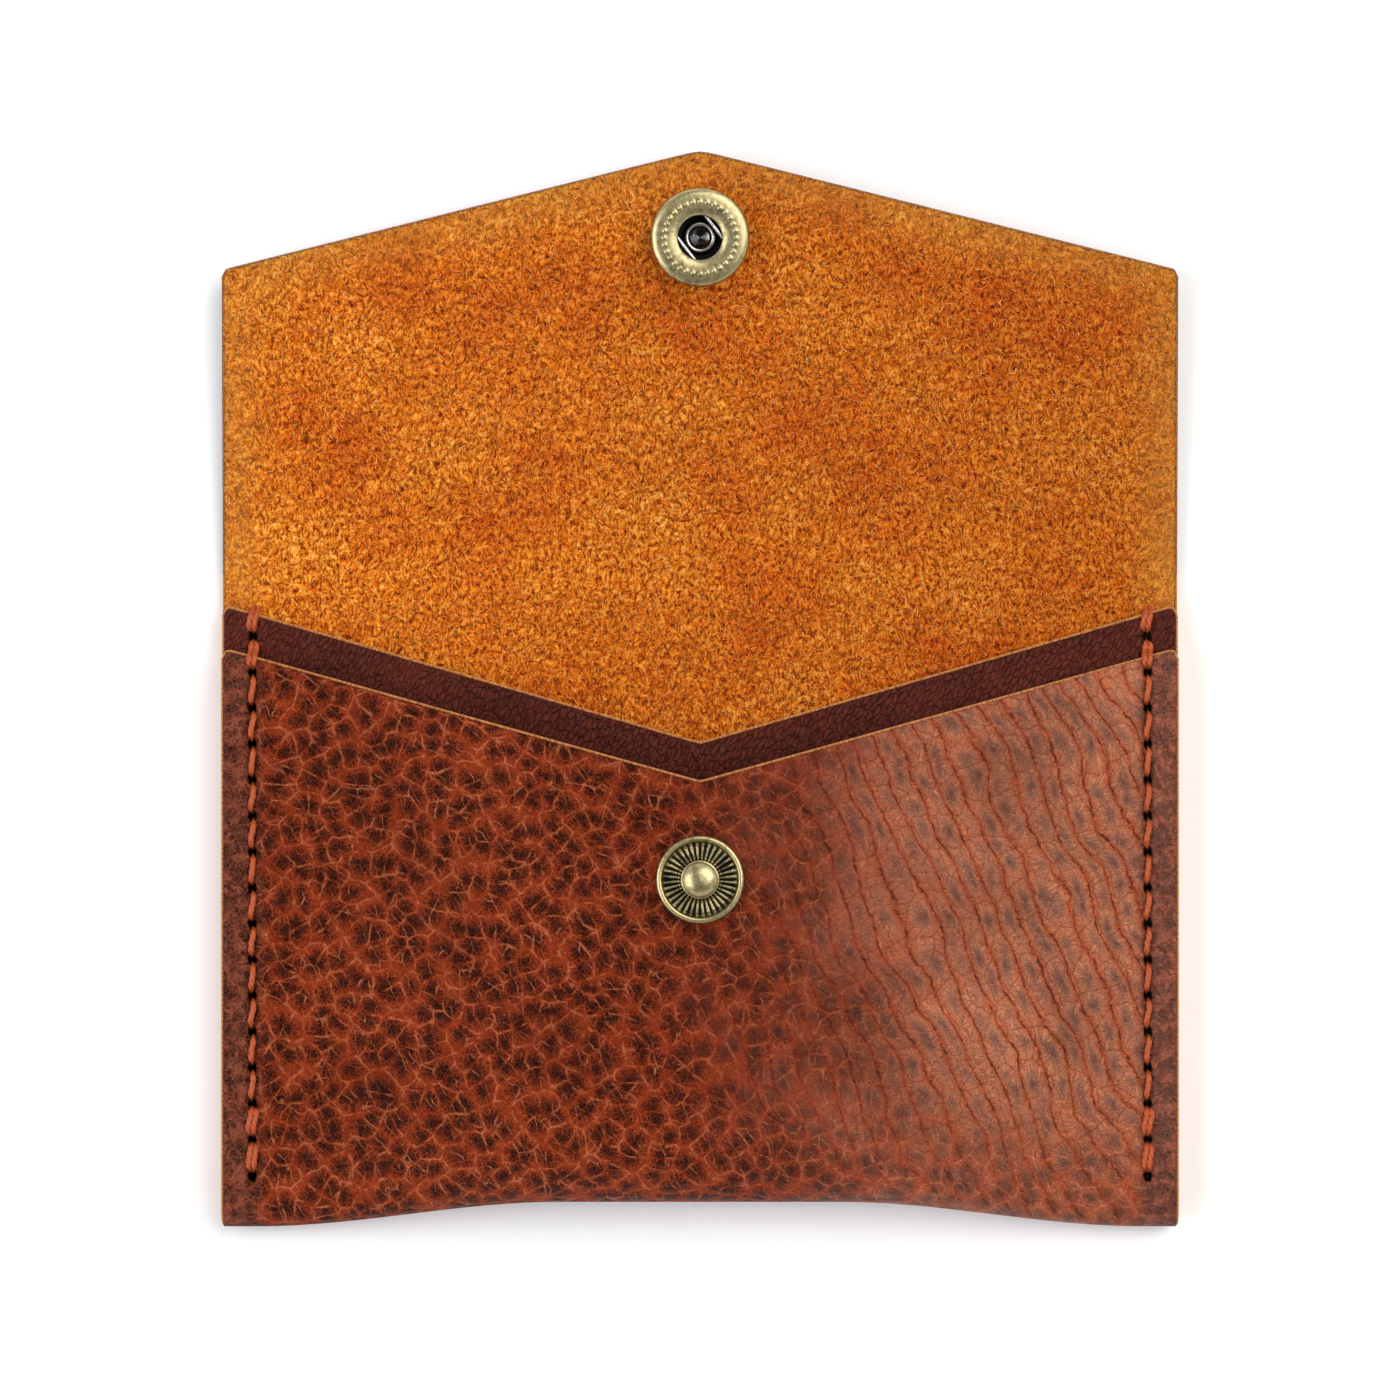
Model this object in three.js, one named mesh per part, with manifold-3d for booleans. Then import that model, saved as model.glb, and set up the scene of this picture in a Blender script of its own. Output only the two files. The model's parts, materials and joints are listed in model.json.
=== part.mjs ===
// Envelope wallet with two card pockets and a snap flap, lying open on its back.
//
// One leather blank is folded at the bottom into a front and a back panel, and runs on over a
// crease as the flap. A thinner leather divider is sewn in between the panels at both sides.
// Millimetres. X runs across the wallet, Y from the bottom fold to the flap's point, Z up from the
// surface that the back panel lies on. While modelling, y = 0 is the lowest edge of the bottom fold.
import * as THREE from "three";
import { mergeVertices } from "three/addons/utils/BufferGeometryUtils.js";
import Module from "manifold-3d";

const wasm = await Module();
wasm.setup();

// Leather
const WIDTH = 108;
const LEATHER = 1.7;
const DIVIDER_LEATHER = 1.3;
const LAYER_GAP = 0.15;
const CORNER_RADIUS = 1.3;

// Pouch: its height to the crease, and the V cuts of the front panel and the divider
const BACK_HEIGHT = 75.35;
const FRONT_NOTCH_DEPTH = 24.85;
const FRONT_NOTCH_RISE = 15;
const DIVIDER_NOTCH_DEPTH = 20.55;
const DIVIDER_NOTCH_RISE = 15.6;

// How far the front panel stands proud of the flat seams, and how far that pulls the fold up
const FOLD_BULGE = 7.8;
const MOUTH_BULGE = 6;
const BULGE_FLAT_HALF = 16;
const FOLD_ARCH = 3;
const DIVIDER_LIFT = 1.05;
const DIVIDER_FOOT_CLEARANCE = 0.6;

// Flap: the snap's distance from the crease, the point's from the snap, and the point's height
const SNAP_REACH = 35.95;
const SNAP_TO_POINT = 10.15;
const FLAP_POINT_RISE = 13.5;
const CREASE_GAP = 0.3;

// Seams
const SEAM_INSET = 3.5;
const STITCH_COUNT = 16;
const FIRST_HOLE_ABOVE_DIVIDER = 1.4;
const LAST_HOLE_Y = 5.85;
const THREAD = 0.66;
const THREAD_CLEARANCE = 0.05;
const THREAD_LEG_SPREAD = 0.8;

// Snap: the stud on the front panel and the spring socket on the flap
const STUD_RADIUS = 4.95;
const STUD_RIM = 1.1;
const STUD_RIM_WIDTH = 0.72;
const STUD_FLOOR = 0.5;
const STUD_RIBS = 36;
const STUD_HEAD_RADIUS = 2;
const STUD_NECK_RADIUS = 1.7;
const STUD_HEIGHT = 3.6;
const STUD_BORE_RADIUS = 1.25;
const EYELET_WALL = 0.4;
const EYELET_FLANGE_RADIUS = 4.7;
const EYELET_FLANGE = 0.5;
const SOCKET_RADIUS = 5.6;
const SOCKET_HEIGHT = 3.2;
const SOCKET_WALL = 0.5;
const SOCKET_MOUTH_RADIUS = 2.45;
const SOCKET_PLATE = 0.45;
const SPRING_WIRE = 0.44;
const SPRING_TURN = THREE.MathUtils.degToRad(-52);
const CAP_RADIUS = 6.25;
const CAP_RIM = 0.7;
const CAP_HEIGHT = 2.3;
const CAP_WALL = 0.45;
const POST_RADIUS = 1.6;
const POST_WALL = 0.35;
const SEAT_GAP = 0.1;

// Worked out from the sizes above
const STACK = 2 * LEATHER + DIVIDER_LEATHER + 2 * LAYER_GAP;
const SEAM_X = WIDTH / 2 - SEAM_INSET;
const BULGE_HALF = SEAM_X - THREAD - THREAD_CLEARANCE;
const GROOVE = THREAD + 2 * THREAD_CLEARANCE;
const SLOT_LENGTH = THREAD_LEG_SPREAD + THREAD + 2 * THREAD_CLEARANCE;
const DIVIDER_TOP = LEATHER + LAYER_GAP + DIVIDER_LEATHER;
const FOLD_CENTRE_Y = FOLD_ARCH + (STACK + FOLD_BULGE) / 2;
const FRONT_NOTCH_Y = BACK_HEIGHT - FRONT_NOTCH_DEPTH;
const DIVIDER_NOTCH_Y = BACK_HEIGHT - DIVIDER_NOTCH_DEPTH;
const STUD_Y = BACK_HEIGHT - SNAP_REACH;
const FLAP_LENGTH = SNAP_REACH + SNAP_TO_POINT;
const FLAP_SIDE = FLAP_LENGTH - FLAP_POINT_RISE;
const BULGE_SETTLED_Y = STUD_Y - 2 * STUD_RADIUS;
const FRONT_TOP = STACK + MOUTH_BULGE;
const FLESH_OVER_FRONT = STUD_RIM + SOCKET_HEIGHT + 3 * SEAT_GAP;

const smoothstep = THREE.MathUtils.smoothstep;
const lerp = THREE.MathUtils.lerp;

// A closed three.js geometry as a manifold-3d solid, and back.
function solidOf(geometry) {
  const bare = new THREE.BufferGeometry();
  bare.setAttribute("position", geometry.getAttribute("position"));
  bare.setIndex(geometry.index);
  const merged = mergeVertices(bare, 1e-4);
  const mesh = new wasm.Mesh({
    numProp: 3,
    vertProperties: new Float32Array(merged.attributes.position.array),
    triVerts: new Uint32Array(merged.index.array),
  });
  return new wasm.Manifold(mesh);
}

function geometryOf(solid) {
  const mesh = solid.getMesh();
  const geometry = new THREE.BufferGeometry();
  geometry.setAttribute("position", new THREE.BufferAttribute(mesh.vertProperties, 3));
  geometry.setIndex(new THREE.BufferAttribute(mesh.triVerts, 1));
  geometry.computeVertexNormals();
  return geometry;
}

function cut(geometry, cutters) {
  const whole = cutters.reduce((solid, cutter) => solid.subtract(solidOf(cutter)), solidOf(geometry));
  return geometryOf(whole);
}

function box(xs, ys, zs) {
  const geometry = new THREE.BoxGeometry(xs[1] - xs[0], ys[1] - ys[0], zs[1] - zs[0]);
  return geometry.translate((xs[0] + xs[1]) / 2, (ys[0] + ys[1]) / 2, (zs[0] + zs[1]) / 2);
}

function drill(radius, y, zs) {
  const geometry = new THREE.CylinderGeometry(radius, radius, zs[1] - zs[0], 24);
  return geometry.rotateX(Math.PI / 2).translate(0, y, (zs[0] + zs[1]) / 2);
}

// A leather sheet: a box of columns x rows cells, whose corners are moved to point(x, row, side).
// side is -1 on the grain face and 1 on the flesh face.
function sheet(stations, rows, point) {
  const columns = stations.length - 1;
  const geometry = new THREE.BoxGeometry(1, 1, 1, columns, rows, 1);
  const position = geometry.attributes.position;
  for (let i = 0; i < position.count; i += 1) {
    const x = stations[Math.round((position.getX(i) + 0.5) * columns)];
    const row = Math.round((position.getY(i) + 0.5) * rows);
    const [y, z] = point(x, row, Math.sign(position.getZ(i)));
    position.setXYZ(i, x, y, z);
  }
  return geometry;
}

// Columns across the width: even over the bulge, finer round the two small corners.
function stationsAcross() {
  const slopeSteps = 6;
  const half = [BULGE_FLAT_HALF / 2, BULGE_FLAT_HALF];
  for (let i = 1; i <= slopeSteps; i += 1) {
    half.push(lerp(BULGE_FLAT_HALF, BULGE_HALF, i / slopeSteps));
  }
  for (const turn of [0, 30, 60, 90]) {
    half.push(WIDTH / 2 - CORNER_RADIUS * (1 - Math.sin(THREE.MathUtils.degToRad(turn))));
  }
  return [...half.map((x) => -x).reverse(), 0, ...half];
}

// Share of the full bulge at x: 1 over the middle, falling smoothly to 0 at the seams.
function bulgeShare(x) {
  return 1 - smoothstep(Math.abs(x), BULGE_FLAT_HALF, BULGE_HALF);
}

// Outer radius of the bottom fold at x, and the y of its centre.
function foldRadius(x) {
  return (STACK + FOLD_BULGE * bulgeShare(x)) / 2;
}

function foldCentre(x) {
  return FOLD_ARCH * bulgeShare(x) + foldRadius(x);
}

// Height of the front panel's grain face. It settles from the fold's bulge to the mouth's.
function frontTop(x, y) {
  const settled = smoothstep(y, FOLD_CENTRE_Y, BULGE_SETTLED_Y);
  return STACK + lerp(FOLD_BULGE, MOUTH_BULGE, settled) * bulgeShare(x);
}

// Upper edge of a V-cut panel at x, with its outer corners rounded.
function notchedEdge(x, notchY, rise) {
  const beyond = Math.max(0, Math.abs(x) - (WIDTH / 2 - CORNER_RADIUS));
  const rounding = CORNER_RADIUS - Math.sqrt(Math.max(0, CORNER_RADIUS ** 2 - beyond ** 2));
  return notchY + (rise * Math.abs(x)) / (WIDTH / 2) - rounding;
}

const frontEdge = (x) => notchedEdge(x, FRONT_NOTCH_Y, FRONT_NOTCH_RISE);
const dividerEdge = (x) => notchedEdge(x, DIVIDER_NOTCH_Y, DIVIDER_NOTCH_RISE);

// Front panel, bottom fold and back panel as one bent sheet.
function pouchSheet() {
  const frontRows = 7;
  const foldRows = 8;
  const backRows = 2;
  return sheet(stationsAcross(), frontRows + foldRows + backRows, (x, row, side) => {
    const inward = side > 0 ? LEATHER : 0;
    if (row <= frontRows) {
      const y = lerp(frontEdge(x), foldCentre(x), row / frontRows);
      return [y, frontTop(x, y) - inward];
    }
    if (row < frontRows + foldRows) {
      const angle = Math.PI * (0.5 + (row - frontRows) / foldRows);
      const radius = foldRadius(x) - inward;
      return [foldCentre(x) + radius * Math.cos(angle), foldRadius(x) + radius * Math.sin(angle)];
    }
    const y = lerp(foldCentre(x), BACK_HEIGHT, (row - frontRows - foldRows) / backRows);
    return [y, inward];
  });
}

// The divider's foot stays a clearance away from the inside of the fold at the middle.
function dividerFoot() {
  const inside = foldRadius(0) - LEATHER;
  const below = foldRadius(0) - (LEATHER + LAYER_GAP + DIVIDER_LIFT);
  const reach = Math.sqrt(Math.max(0, inside ** 2 - below ** 2));
  return FOLD_CENTRE_Y - reach + DIVIDER_FOOT_CLEARANCE;
}

function dividerSheet() {
  const rows = 5;
  const foot = dividerFoot();
  return sheet(stationsAcross(), rows, (x, row, side) => {
    const y = lerp(dividerEdge(x), foot, row / rows);
    const lift = DIVIDER_LIFT * bulgeShare(x);
    return [y, DIVIDER_TOP + lift - (side > 0 ? DIVIDER_LEATHER : 0)];
  });
}

// Stitch holes, from the one just above the divider down to the fold.
const HOLES = Array.from({ length: STITCH_COUNT + 1 }, (_, i) =>
  lerp(dividerEdge(SEAM_X) + FIRST_HOLE_ABOVE_DIVIDER, LAST_HOLE_Y, i / STITCH_COUNT),
);

// Slots for the stitches, and the grooves that bed the thread in each face it lies on.
function seamCutters(side) {
  const x = side * SEAM_X;
  const width = [x - GROOVE / 2, x + GROOVE / 2];
  const over = 1;
  const run = [HOLES.at(-1) - SLOT_LENGTH / 2, HOLES[0] + SLOT_LENGTH / 2];
  const slots = HOLES.map((y) =>
    box(width, [y - SLOT_LENGTH / 2, y + SLOT_LENGTH / 2], [-over, STACK + over]),
  );
  const back = box(width, run, [-over, GROOVE]);
  const front = box(width, [run[0], frontEdge(SEAM_X) + over], [STACK - GROOVE, STACK + over]);
  const dividerRun = [frontEdge(SEAM_X) - GROOVE, dividerEdge(SEAM_X) + over];
  const divider = box(width, dividerRun, [DIVIDER_TOP - GROOVE, DIVIDER_TOP + LAYER_GAP / 2]);
  return { slots, faces: [back, front], divider };
}

// A round thread along points in the plane x = const: a cylinder whose rings are moved to the path.
function thread(x, path) {
  const sides = 6;
  const geometry = new THREE.CylinderGeometry(THREAD / 2, THREAD / 2, 1, sides, path.length - 1);
  const position = geometry.attributes.position;
  const rings = path.map((point, i) => {
    const before = point.clone().sub(path[Math.max(0, i - 1)]).normalize();
    const after = path[Math.min(path.length - 1, i + 1)].clone().sub(point).normalize();
    const along = before.clone().add(after).normalize();
    const turn = Math.max(before.dot(along), after.dot(along));
    return { point, across: new THREE.Vector2(-along.y, along.x), spread: 1 / turn };
  });
  for (let i = 0; i < position.count; i += 1) {
    const ring = rings[Math.round((0.5 - position.getY(i)) * (path.length - 1))];
    const offset = position.getZ(i) * ring.spread;
    const y = ring.point.x + ring.across.x * offset;
    const z = ring.point.y + ring.across.y * offset;
    position.setXYZ(i, x - position.getX(i), y, z);
  }
  return geometry;
}

// Height of the thread's centre where it lies in the groove of the uppermost layer at y.
function threadLevel(y) {
  const bed = THREAD / 2 + THREAD_CLEARANCE - GROOVE;
  if (y < frontEdge(SEAM_X)) return STACK + bed;
  return DIVIDER_TOP + bed;
}

// Height of the topmost layer's upper face beside the seam at y.
function seamTop(y) {
  if (y < frontEdge(SEAM_X)) return STACK;
  return y < dividerEdge(SEAM_X) ? DIVIDER_TOP : LEATHER;
}

// Needle thread: down into each hole, and along the front faces between the holes.
function needlePath() {
  const path = [];
  const meet = (y) => seamTop(y) / 2;
  const room = THREAD / 2 + THREAD_CLEARANCE;
  HOLES.forEach((hole, i) => {
    const bottom = meet(hole) + room;
    if (i > 0) {
      path.push(new THREE.Vector2(hole + THREAD_LEG_SPREAD / 2, threadLevel(hole)));
      path.push(new THREE.Vector2(hole + THREAD_LEG_SPREAD / 2, bottom));
    }
    if (i === STITCH_COUNT) return;
    const leg = hole - THREAD_LEG_SPREAD / 2;
    const from = threadLevel(hole);
    const to = threadLevel(HOLES[i + 1]);
    path.push(new THREE.Vector2(leg, bottom), new THREE.Vector2(leg, from));
    if (to > from) {
      const climb = frontEdge(SEAM_X) + room + THREAD_CLEARANCE;
      path.push(new THREE.Vector2(climb, from), new THREE.Vector2(climb, to));
    }
  });
  return path;
}

// Bobbin thread: the same along the back, up into each hole.
function bobbinPath() {
  const path = [];
  const level = THREAD / 2 + THREAD_CLEARANCE;
  HOLES.forEach((hole, i) => {
    const top = Math.max(seamTop(hole) / 2 - level, level + THREAD_CLEARANCE);
    if (i > 0) {
      path.push(new THREE.Vector2(hole + THREAD_LEG_SPREAD / 2, level));
      path.push(new THREE.Vector2(hole + THREAD_LEG_SPREAD / 2, top));
    }
    if (i === STITCH_COUNT) return;
    path.push(new THREE.Vector2(hole - THREAD_LEG_SPREAD / 2, top));
    path.push(new THREE.Vector2(hole - THREAD_LEG_SPREAD / 2, level));
  });
  return path;
}

// A turned part: a profile of [radius, height] pairs, spun about Z.
function turned(profile, segments = 32) {
  const points = profile.map(([radius, height]) => new THREE.Vector2(radius, height));
  return new THREE.LatheGeometry(points, segments).rotateX(Math.PI / 2);
}

// Points of a quarter ellipse from angle to angle, in degrees, as [radius, height] pairs.
function arc(centre, reach, from, to, steps) {
  return Array.from({ length: steps + 1 }, (_, i) => {
    const angle = THREE.MathUtils.degToRad(lerp(from, to, i / steps));
    return [centre[0] + reach[0] * Math.cos(angle), centre[1] + reach[1] * Math.sin(angle)];
  });
}

// Stud, height 0 on the leather: hollow, with a rolled rim, a ribbed floor and a round head.
function studGeometry() {
  const headBase = STUD_HEIGHT - STUD_HEAD_RADIUS / 2;
  const floorRadius = STUD_RADIUS - STUD_RIM_WIDTH;
  const rimRadius = STUD_RIM_WIDTH / 2;
  const rim = [STUD_RADIUS - rimRadius, STUD_RIM - rimRadius];
  const body = turned([
    [0, STUD_HEIGHT - EYELET_WALL],
    [STUD_BORE_RADIUS, STUD_HEIGHT - 2 * EYELET_WALL],
    [STUD_BORE_RADIUS, 0],
    [STUD_RADIUS, 0],
    ...arc(rim, [rimRadius, rimRadius], 0, 180, 6),
    [floorRadius, STUD_FLOOR],
    [STUD_HEAD_RADIUS, STUD_FLOOR],
    [STUD_NECK_RADIUS, STUD_FLOOR + STUD_HEAD_RADIUS - STUD_NECK_RADIUS],
    [STUD_NECK_RADIUS, headBase - (STUD_HEAD_RADIUS - STUD_NECK_RADIUS)],
    ...arc([0, headBase], [STUD_HEAD_RADIUS, STUD_HEIGHT - headBase], 0, 75, 5),
    [0, STUD_HEIGHT],
  ]);
  const ribHeight = (STUD_RIM - STUD_FLOOR) / 2;
  const inner = STUD_HEAD_RADIUS + ribHeight;
  const outer = floorRadius - ribHeight / 2;
  const pitch = (2 * Math.PI) / STUD_RIBS;
  const ribbed = Array.from({ length: STUD_RIBS }, (_, i) => {
    const rib = new THREE.BoxGeometry(outer - inner, (inner * pitch) / 2, 2 * ribHeight);
    return rib.translate((outer + inner) / 2, 0, STUD_FLOOR).rotateZ(i * pitch);
  }).reduce((solid, rib) => solid.add(solidOf(rib)), solidOf(body));
  return geometryOf(ribbed);
}

// Eyelet, height 0 on the flesh face of the front panel: a flange below it, a barrel above it.
function eyeletGeometry() {
  const outer = STUD_BORE_RADIUS - SEAT_GAP;
  const inner = outer - EYELET_WALL;
  const top = LEATHER + STUD_HEIGHT - 3 * EYELET_WALL;
  return turned([
    [inner, -EYELET_FLANGE],
    [EYELET_FLANGE_RADIUS - EYELET_FLANGE / 2, -EYELET_FLANGE],
    [EYELET_FLANGE_RADIUS, -EYELET_FLANGE / 2],
    [EYELET_FLANGE_RADIUS, 0],
    [outer, 0],
    [outer, top],
    [inner, top],
    [inner, -EYELET_FLANGE],
  ]);
}

// Socket ring, height 0 on the flesh face: a flat ring whose wall comes down to the leather.
function socketRingGeometry() {
  const outer = SOCKET_RADIUS;
  const round = SOCKET_WALL;
  const lip = SOCKET_MOUTH_RADIUS;
  return turned([
    [outer - SOCKET_WALL, 0],
    [outer, 0],
    ...arc([outer - round, SOCKET_HEIGHT - round], [round, round], 0, 90, 4),
    ...arc([lip + round, SOCKET_HEIGHT - round], [round, round], 90, 180, 4),
    [lip, SOCKET_HEIGHT - SOCKET_WALL],
    [outer - SOCKET_WALL, SOCKET_HEIGHT - SOCKET_WALL],
    [outer - SOCKET_WALL, 0],
  ]);
}

// Socket plate: the washer that the post is riveted over, inside the ring.
function socketPlateGeometry() {
  const outer = SOCKET_RADIUS - SOCKET_WALL - SEAT_GAP;
  const inner = POST_RADIUS + SEAT_GAP;
  return turned([
    [inner, 0],
    [outer, 0],
    [outer, SOCKET_PLATE],
    [inner, SOCKET_PLATE],
    [inner, 0],
  ]);
}

// Spring: one hairpin of wire, whose two straight bars grip the stud's neck.
function springGeometry() {
  const wire = SPRING_WIRE / 2;
  const bar = STUD_NECK_RADIUS + SEAT_GAP + wire;
  const reach = SOCKET_RADIUS - SOCKET_WALL - SEAT_GAP - wire;
  const barEnd = Math.sqrt(reach ** 2 - bar ** 2);
  const start = Math.atan2(bar, barEnd);
  const bowSteps = 6;
  const points = [new THREE.Vector3(-barEnd, -bar, 0)];
  for (let i = 0; i <= bowSteps; i += 1) {
    const angle = lerp(-start, start, i / bowSteps);
    points.push(new THREE.Vector3(reach * Math.cos(angle), reach * Math.sin(angle), 0));
  }
  points.push(new THREE.Vector3(-barEnd, bar, 0));
  const path = new THREE.CatmullRomCurve3(points, false, "centripetal");
  const round = new THREE.Shape().absarc(0, 0, wire, 0, 2 * Math.PI);
  return new THREE.ExtrudeGeometry(round, { steps: 24, curveSegments: 3, extrudePath: path });
}

// Cap, height 0 on the grain face: a thin dome, with a hollow post through the leather and plate.
function capGeometry() {
  const rise = CAP_HEIGHT - CAP_RIM;
  const sphere = capSphereRadius();
  const dome = (radius, drop) => CAP_HEIGHT - drop - (sphere - Math.sqrt(sphere ** 2 - radius ** 2));
  const steps = [0.2, 0.4, 0.6, 0.8, 0.93];
  const outside = steps.map((share) => [CAP_RADIUS * share, dome(CAP_RADIUS * share, 0)]);
  const inner = CAP_RADIUS - CAP_WALL;
  const inside = [0.9, 0.6, POST_RADIUS / inner].map((share) => [inner * share, dome(inner * share, CAP_WALL)]);
  const postEnd = -(LEATHER + SOCKET_PLATE + 3 * SEAT_GAP);
  const roll = postEnd - POST_WALL;
  return turned([
    [0, CAP_HEIGHT - 2 * CAP_WALL],
    [POST_RADIUS - POST_WALL, CAP_HEIGHT - 2 * CAP_WALL - rise / 2],
    [POST_RADIUS - POST_WALL, roll],
    [POST_RADIUS + POST_WALL, roll],
    [POST_RADIUS + POST_WALL, postEnd],
    [POST_RADIUS, postEnd],
    ...inside.reverse(),
    [inner, CAP_RIM - CAP_WALL / 2],
    [inner, 0],
    [CAP_RADIUS, 0],
    [CAP_RADIUS, CAP_RIM],
    ...outside.reverse(),
    [0, CAP_HEIGHT],
  ]);
}

// Radius of the sphere that the cap's dome is part of.
function capSphereRadius() {
  const rise = CAP_HEIGHT - CAP_RIM;
  return (CAP_RADIUS ** 2 + rise ** 2) / (2 * rise);
}

// Flap outline from the crease, with y measured from the hinge axis.
function flapGeometry(flesh, start) {
  const half = WIDTH / 2;
  const outline = new THREE.Shape();
  const slope = new THREE.Vector2(-half, FLAP_POINT_RISE).normalize();
  const soften = (corner, before, after) => {
    const from = corner.clone().addScaledVector(before, CORNER_RADIUS);
    const to = corner.clone().addScaledVector(after, CORNER_RADIUS);
    outline.lineTo(from.x, from.y);
    outline.quadraticCurveTo(corner.x, corner.y, to.x, to.y);
  };
  const down = new THREE.Vector2(0, -1);
  const slopeLeft = new THREE.Vector2(-slope.x, slope.y);
  outline.moveTo(-half, start);
  outline.lineTo(half, start);
  soften(new THREE.Vector2(half, FLAP_SIDE), down, slope);
  soften(new THREE.Vector2(0, FLAP_LENGTH), slope.clone().negate(), slopeLeft.clone().negate());
  soften(new THREE.Vector2(-half, FLAP_SIDE), slopeLeft, down);
  outline.closePath();
  const hole = new THREE.Path();
  hole.absarc(0, SNAP_REACH, POST_RADIUS + SEAT_GAP, 0, 2 * Math.PI, true);
  outline.holes.push(hole);
  const sheetSolid = new THREE.ExtrudeGeometry(outline, { depth: LEATHER, bevelEnabled: false, curveSegments: 6 });
  return sheetSolid.translate(0, 0, flesh - LEATHER);
}

// Colours and finishes
const finish = (color, roughness, metalness = 0) =>
  new THREE.MeshStandardMaterial({ color, roughness, metalness });
const GRAIN = finish("#7a3323", 0.45);
const DARK_GRAIN = finish("#4a251b", 0.5);
const SUEDE = finish("#c0701c", 0.95);
const RUST_THREAD = finish("#c1552c", 0.7);
const ANTIQUE_BRASS = finish("#9c8a58", 0.35, 1);
const SPRING_STEEL = finish("#a9a69f", 0.25, 1);

function piece(name, geometry, material) {
  const mesh = new THREE.Mesh(geometry, material);
  mesh.name = name;
  return mesh;
}

const wallet = new THREE.Group();

// Pouch and divider, with both seams
const seams = [-1, 1].map(seamCutters);
const frontHole = drill(STUD_BORE_RADIUS, STUD_Y, [STACK, FRONT_TOP + LEATHER]);
const pouchCutters = [...seams.flatMap(({ slots, faces }) => [...slots, ...faces]), frontHole];
wallet.add(piece("pouch_leather", cut(pouchSheet(), pouchCutters), GRAIN));
const dividerCutters = seams.flatMap(({ slots, divider }) => [...slots, divider]);
wallet.add(piece("pocket_divider", cut(dividerSheet(), dividerCutters), DARK_GRAIN));
for (const [name, side] of [["left", -1], ["right", 1]]) {
  wallet.add(piece(`${name}_needle_thread`, thread(side * SEAM_X, needlePath()), RUST_THREAD));
  wallet.add(piece(`${name}_bobbin_thread`, thread(side * SEAM_X, bobbinPath()), RUST_THREAD));
}

// Stud and its eyelet on the front panel
const stud = piece("snap_stud", studGeometry(), ANTIQUE_BRASS);
stud.position.set(0, STUD_Y, FRONT_TOP + SEAT_GAP);
const eyelet = piece("stud_eyelet", eyeletGeometry(), ANTIQUE_BRASS);
eyelet.position.set(0, STUD_Y, FRONT_TOP - LEATHER - SEAT_GAP);
wallet.add(stud, eyelet);

// The crease's axis lies midway between the open flap and the closed one, so that half a turn
// about it lays the socket on the stud.
const AXIS_HEIGHT = (LEATHER + FRONT_TOP + FLESH_OVER_FRONT) / 2;
const flap = new THREE.Group();
flap.position.set(0, BACK_HEIGHT, AXIS_HEIGHT);

// Open, the flap leans on its cap: the dome's sphere just touches the surface below it.
const sphereHeight = capSphereRadius() - CAP_HEIGHT - SEAT_GAP - AXIS_HEIGHT;
const lean = Math.asin((capSphereRadius() - AXIS_HEIGHT) / Math.hypot(SNAP_REACH, sphereHeight))
  - Math.atan2(sphereHeight, SNAP_REACH);
flap.rotation.x = lean;

const flesh = LEATHER - AXIS_HEIGHT;
const flapStart = CREASE_GAP + flesh * Math.sin(lean);
flap.add(piece("flap_leather", flapGeometry(flesh, flapStart), SUEDE));

const cap = piece("snap_cap", capGeometry(), ANTIQUE_BRASS);
cap.rotation.x = Math.PI;
cap.position.set(0, SNAP_REACH, flesh - LEATHER - SEAT_GAP);
const ring = piece("socket_ring", socketRingGeometry(), ANTIQUE_BRASS);
ring.position.set(0, SNAP_REACH, flesh + SEAT_GAP);
const plate = piece("socket_plate", socketPlateGeometry(), ANTIQUE_BRASS);
plate.position.copy(ring.position);
const spring = piece("socket_spring", springGeometry(), SPRING_STEEL);
const springLevel = SOCKET_HEIGHT - SOCKET_WALL - SEAT_GAP - SPRING_WIRE / 2;
spring.position.set(0, SNAP_REACH, flesh + SEAT_GAP + springLevel);
spring.rotation.z = SPRING_TURN;
flap.add(cap, ring, plate, spring);
wallet.add(flap);

// The finished part stands with its origin under the middle of its outline.
const outlineBox = new THREE.Box3().setFromObject(wallet);
wallet.position.y = -(outlineBox.min.y + outlineBox.max.y) / 2;

export default wallet;
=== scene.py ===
# %% [markdown]
# # An envelope wallet, lying open on its back
#
# The wallet is one leather blank, folded up at the bottom and sewn at both sides over a thinner
# divider. Its pointed flap closes with a ring snap. The measured model is loaded first, and every
# piece below is drawn in that model's own frame, in metres.

# %% Load the measured model
import json
import bmesh
import bpy
import numpy as np
from mathutils import Matrix, Vector


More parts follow.
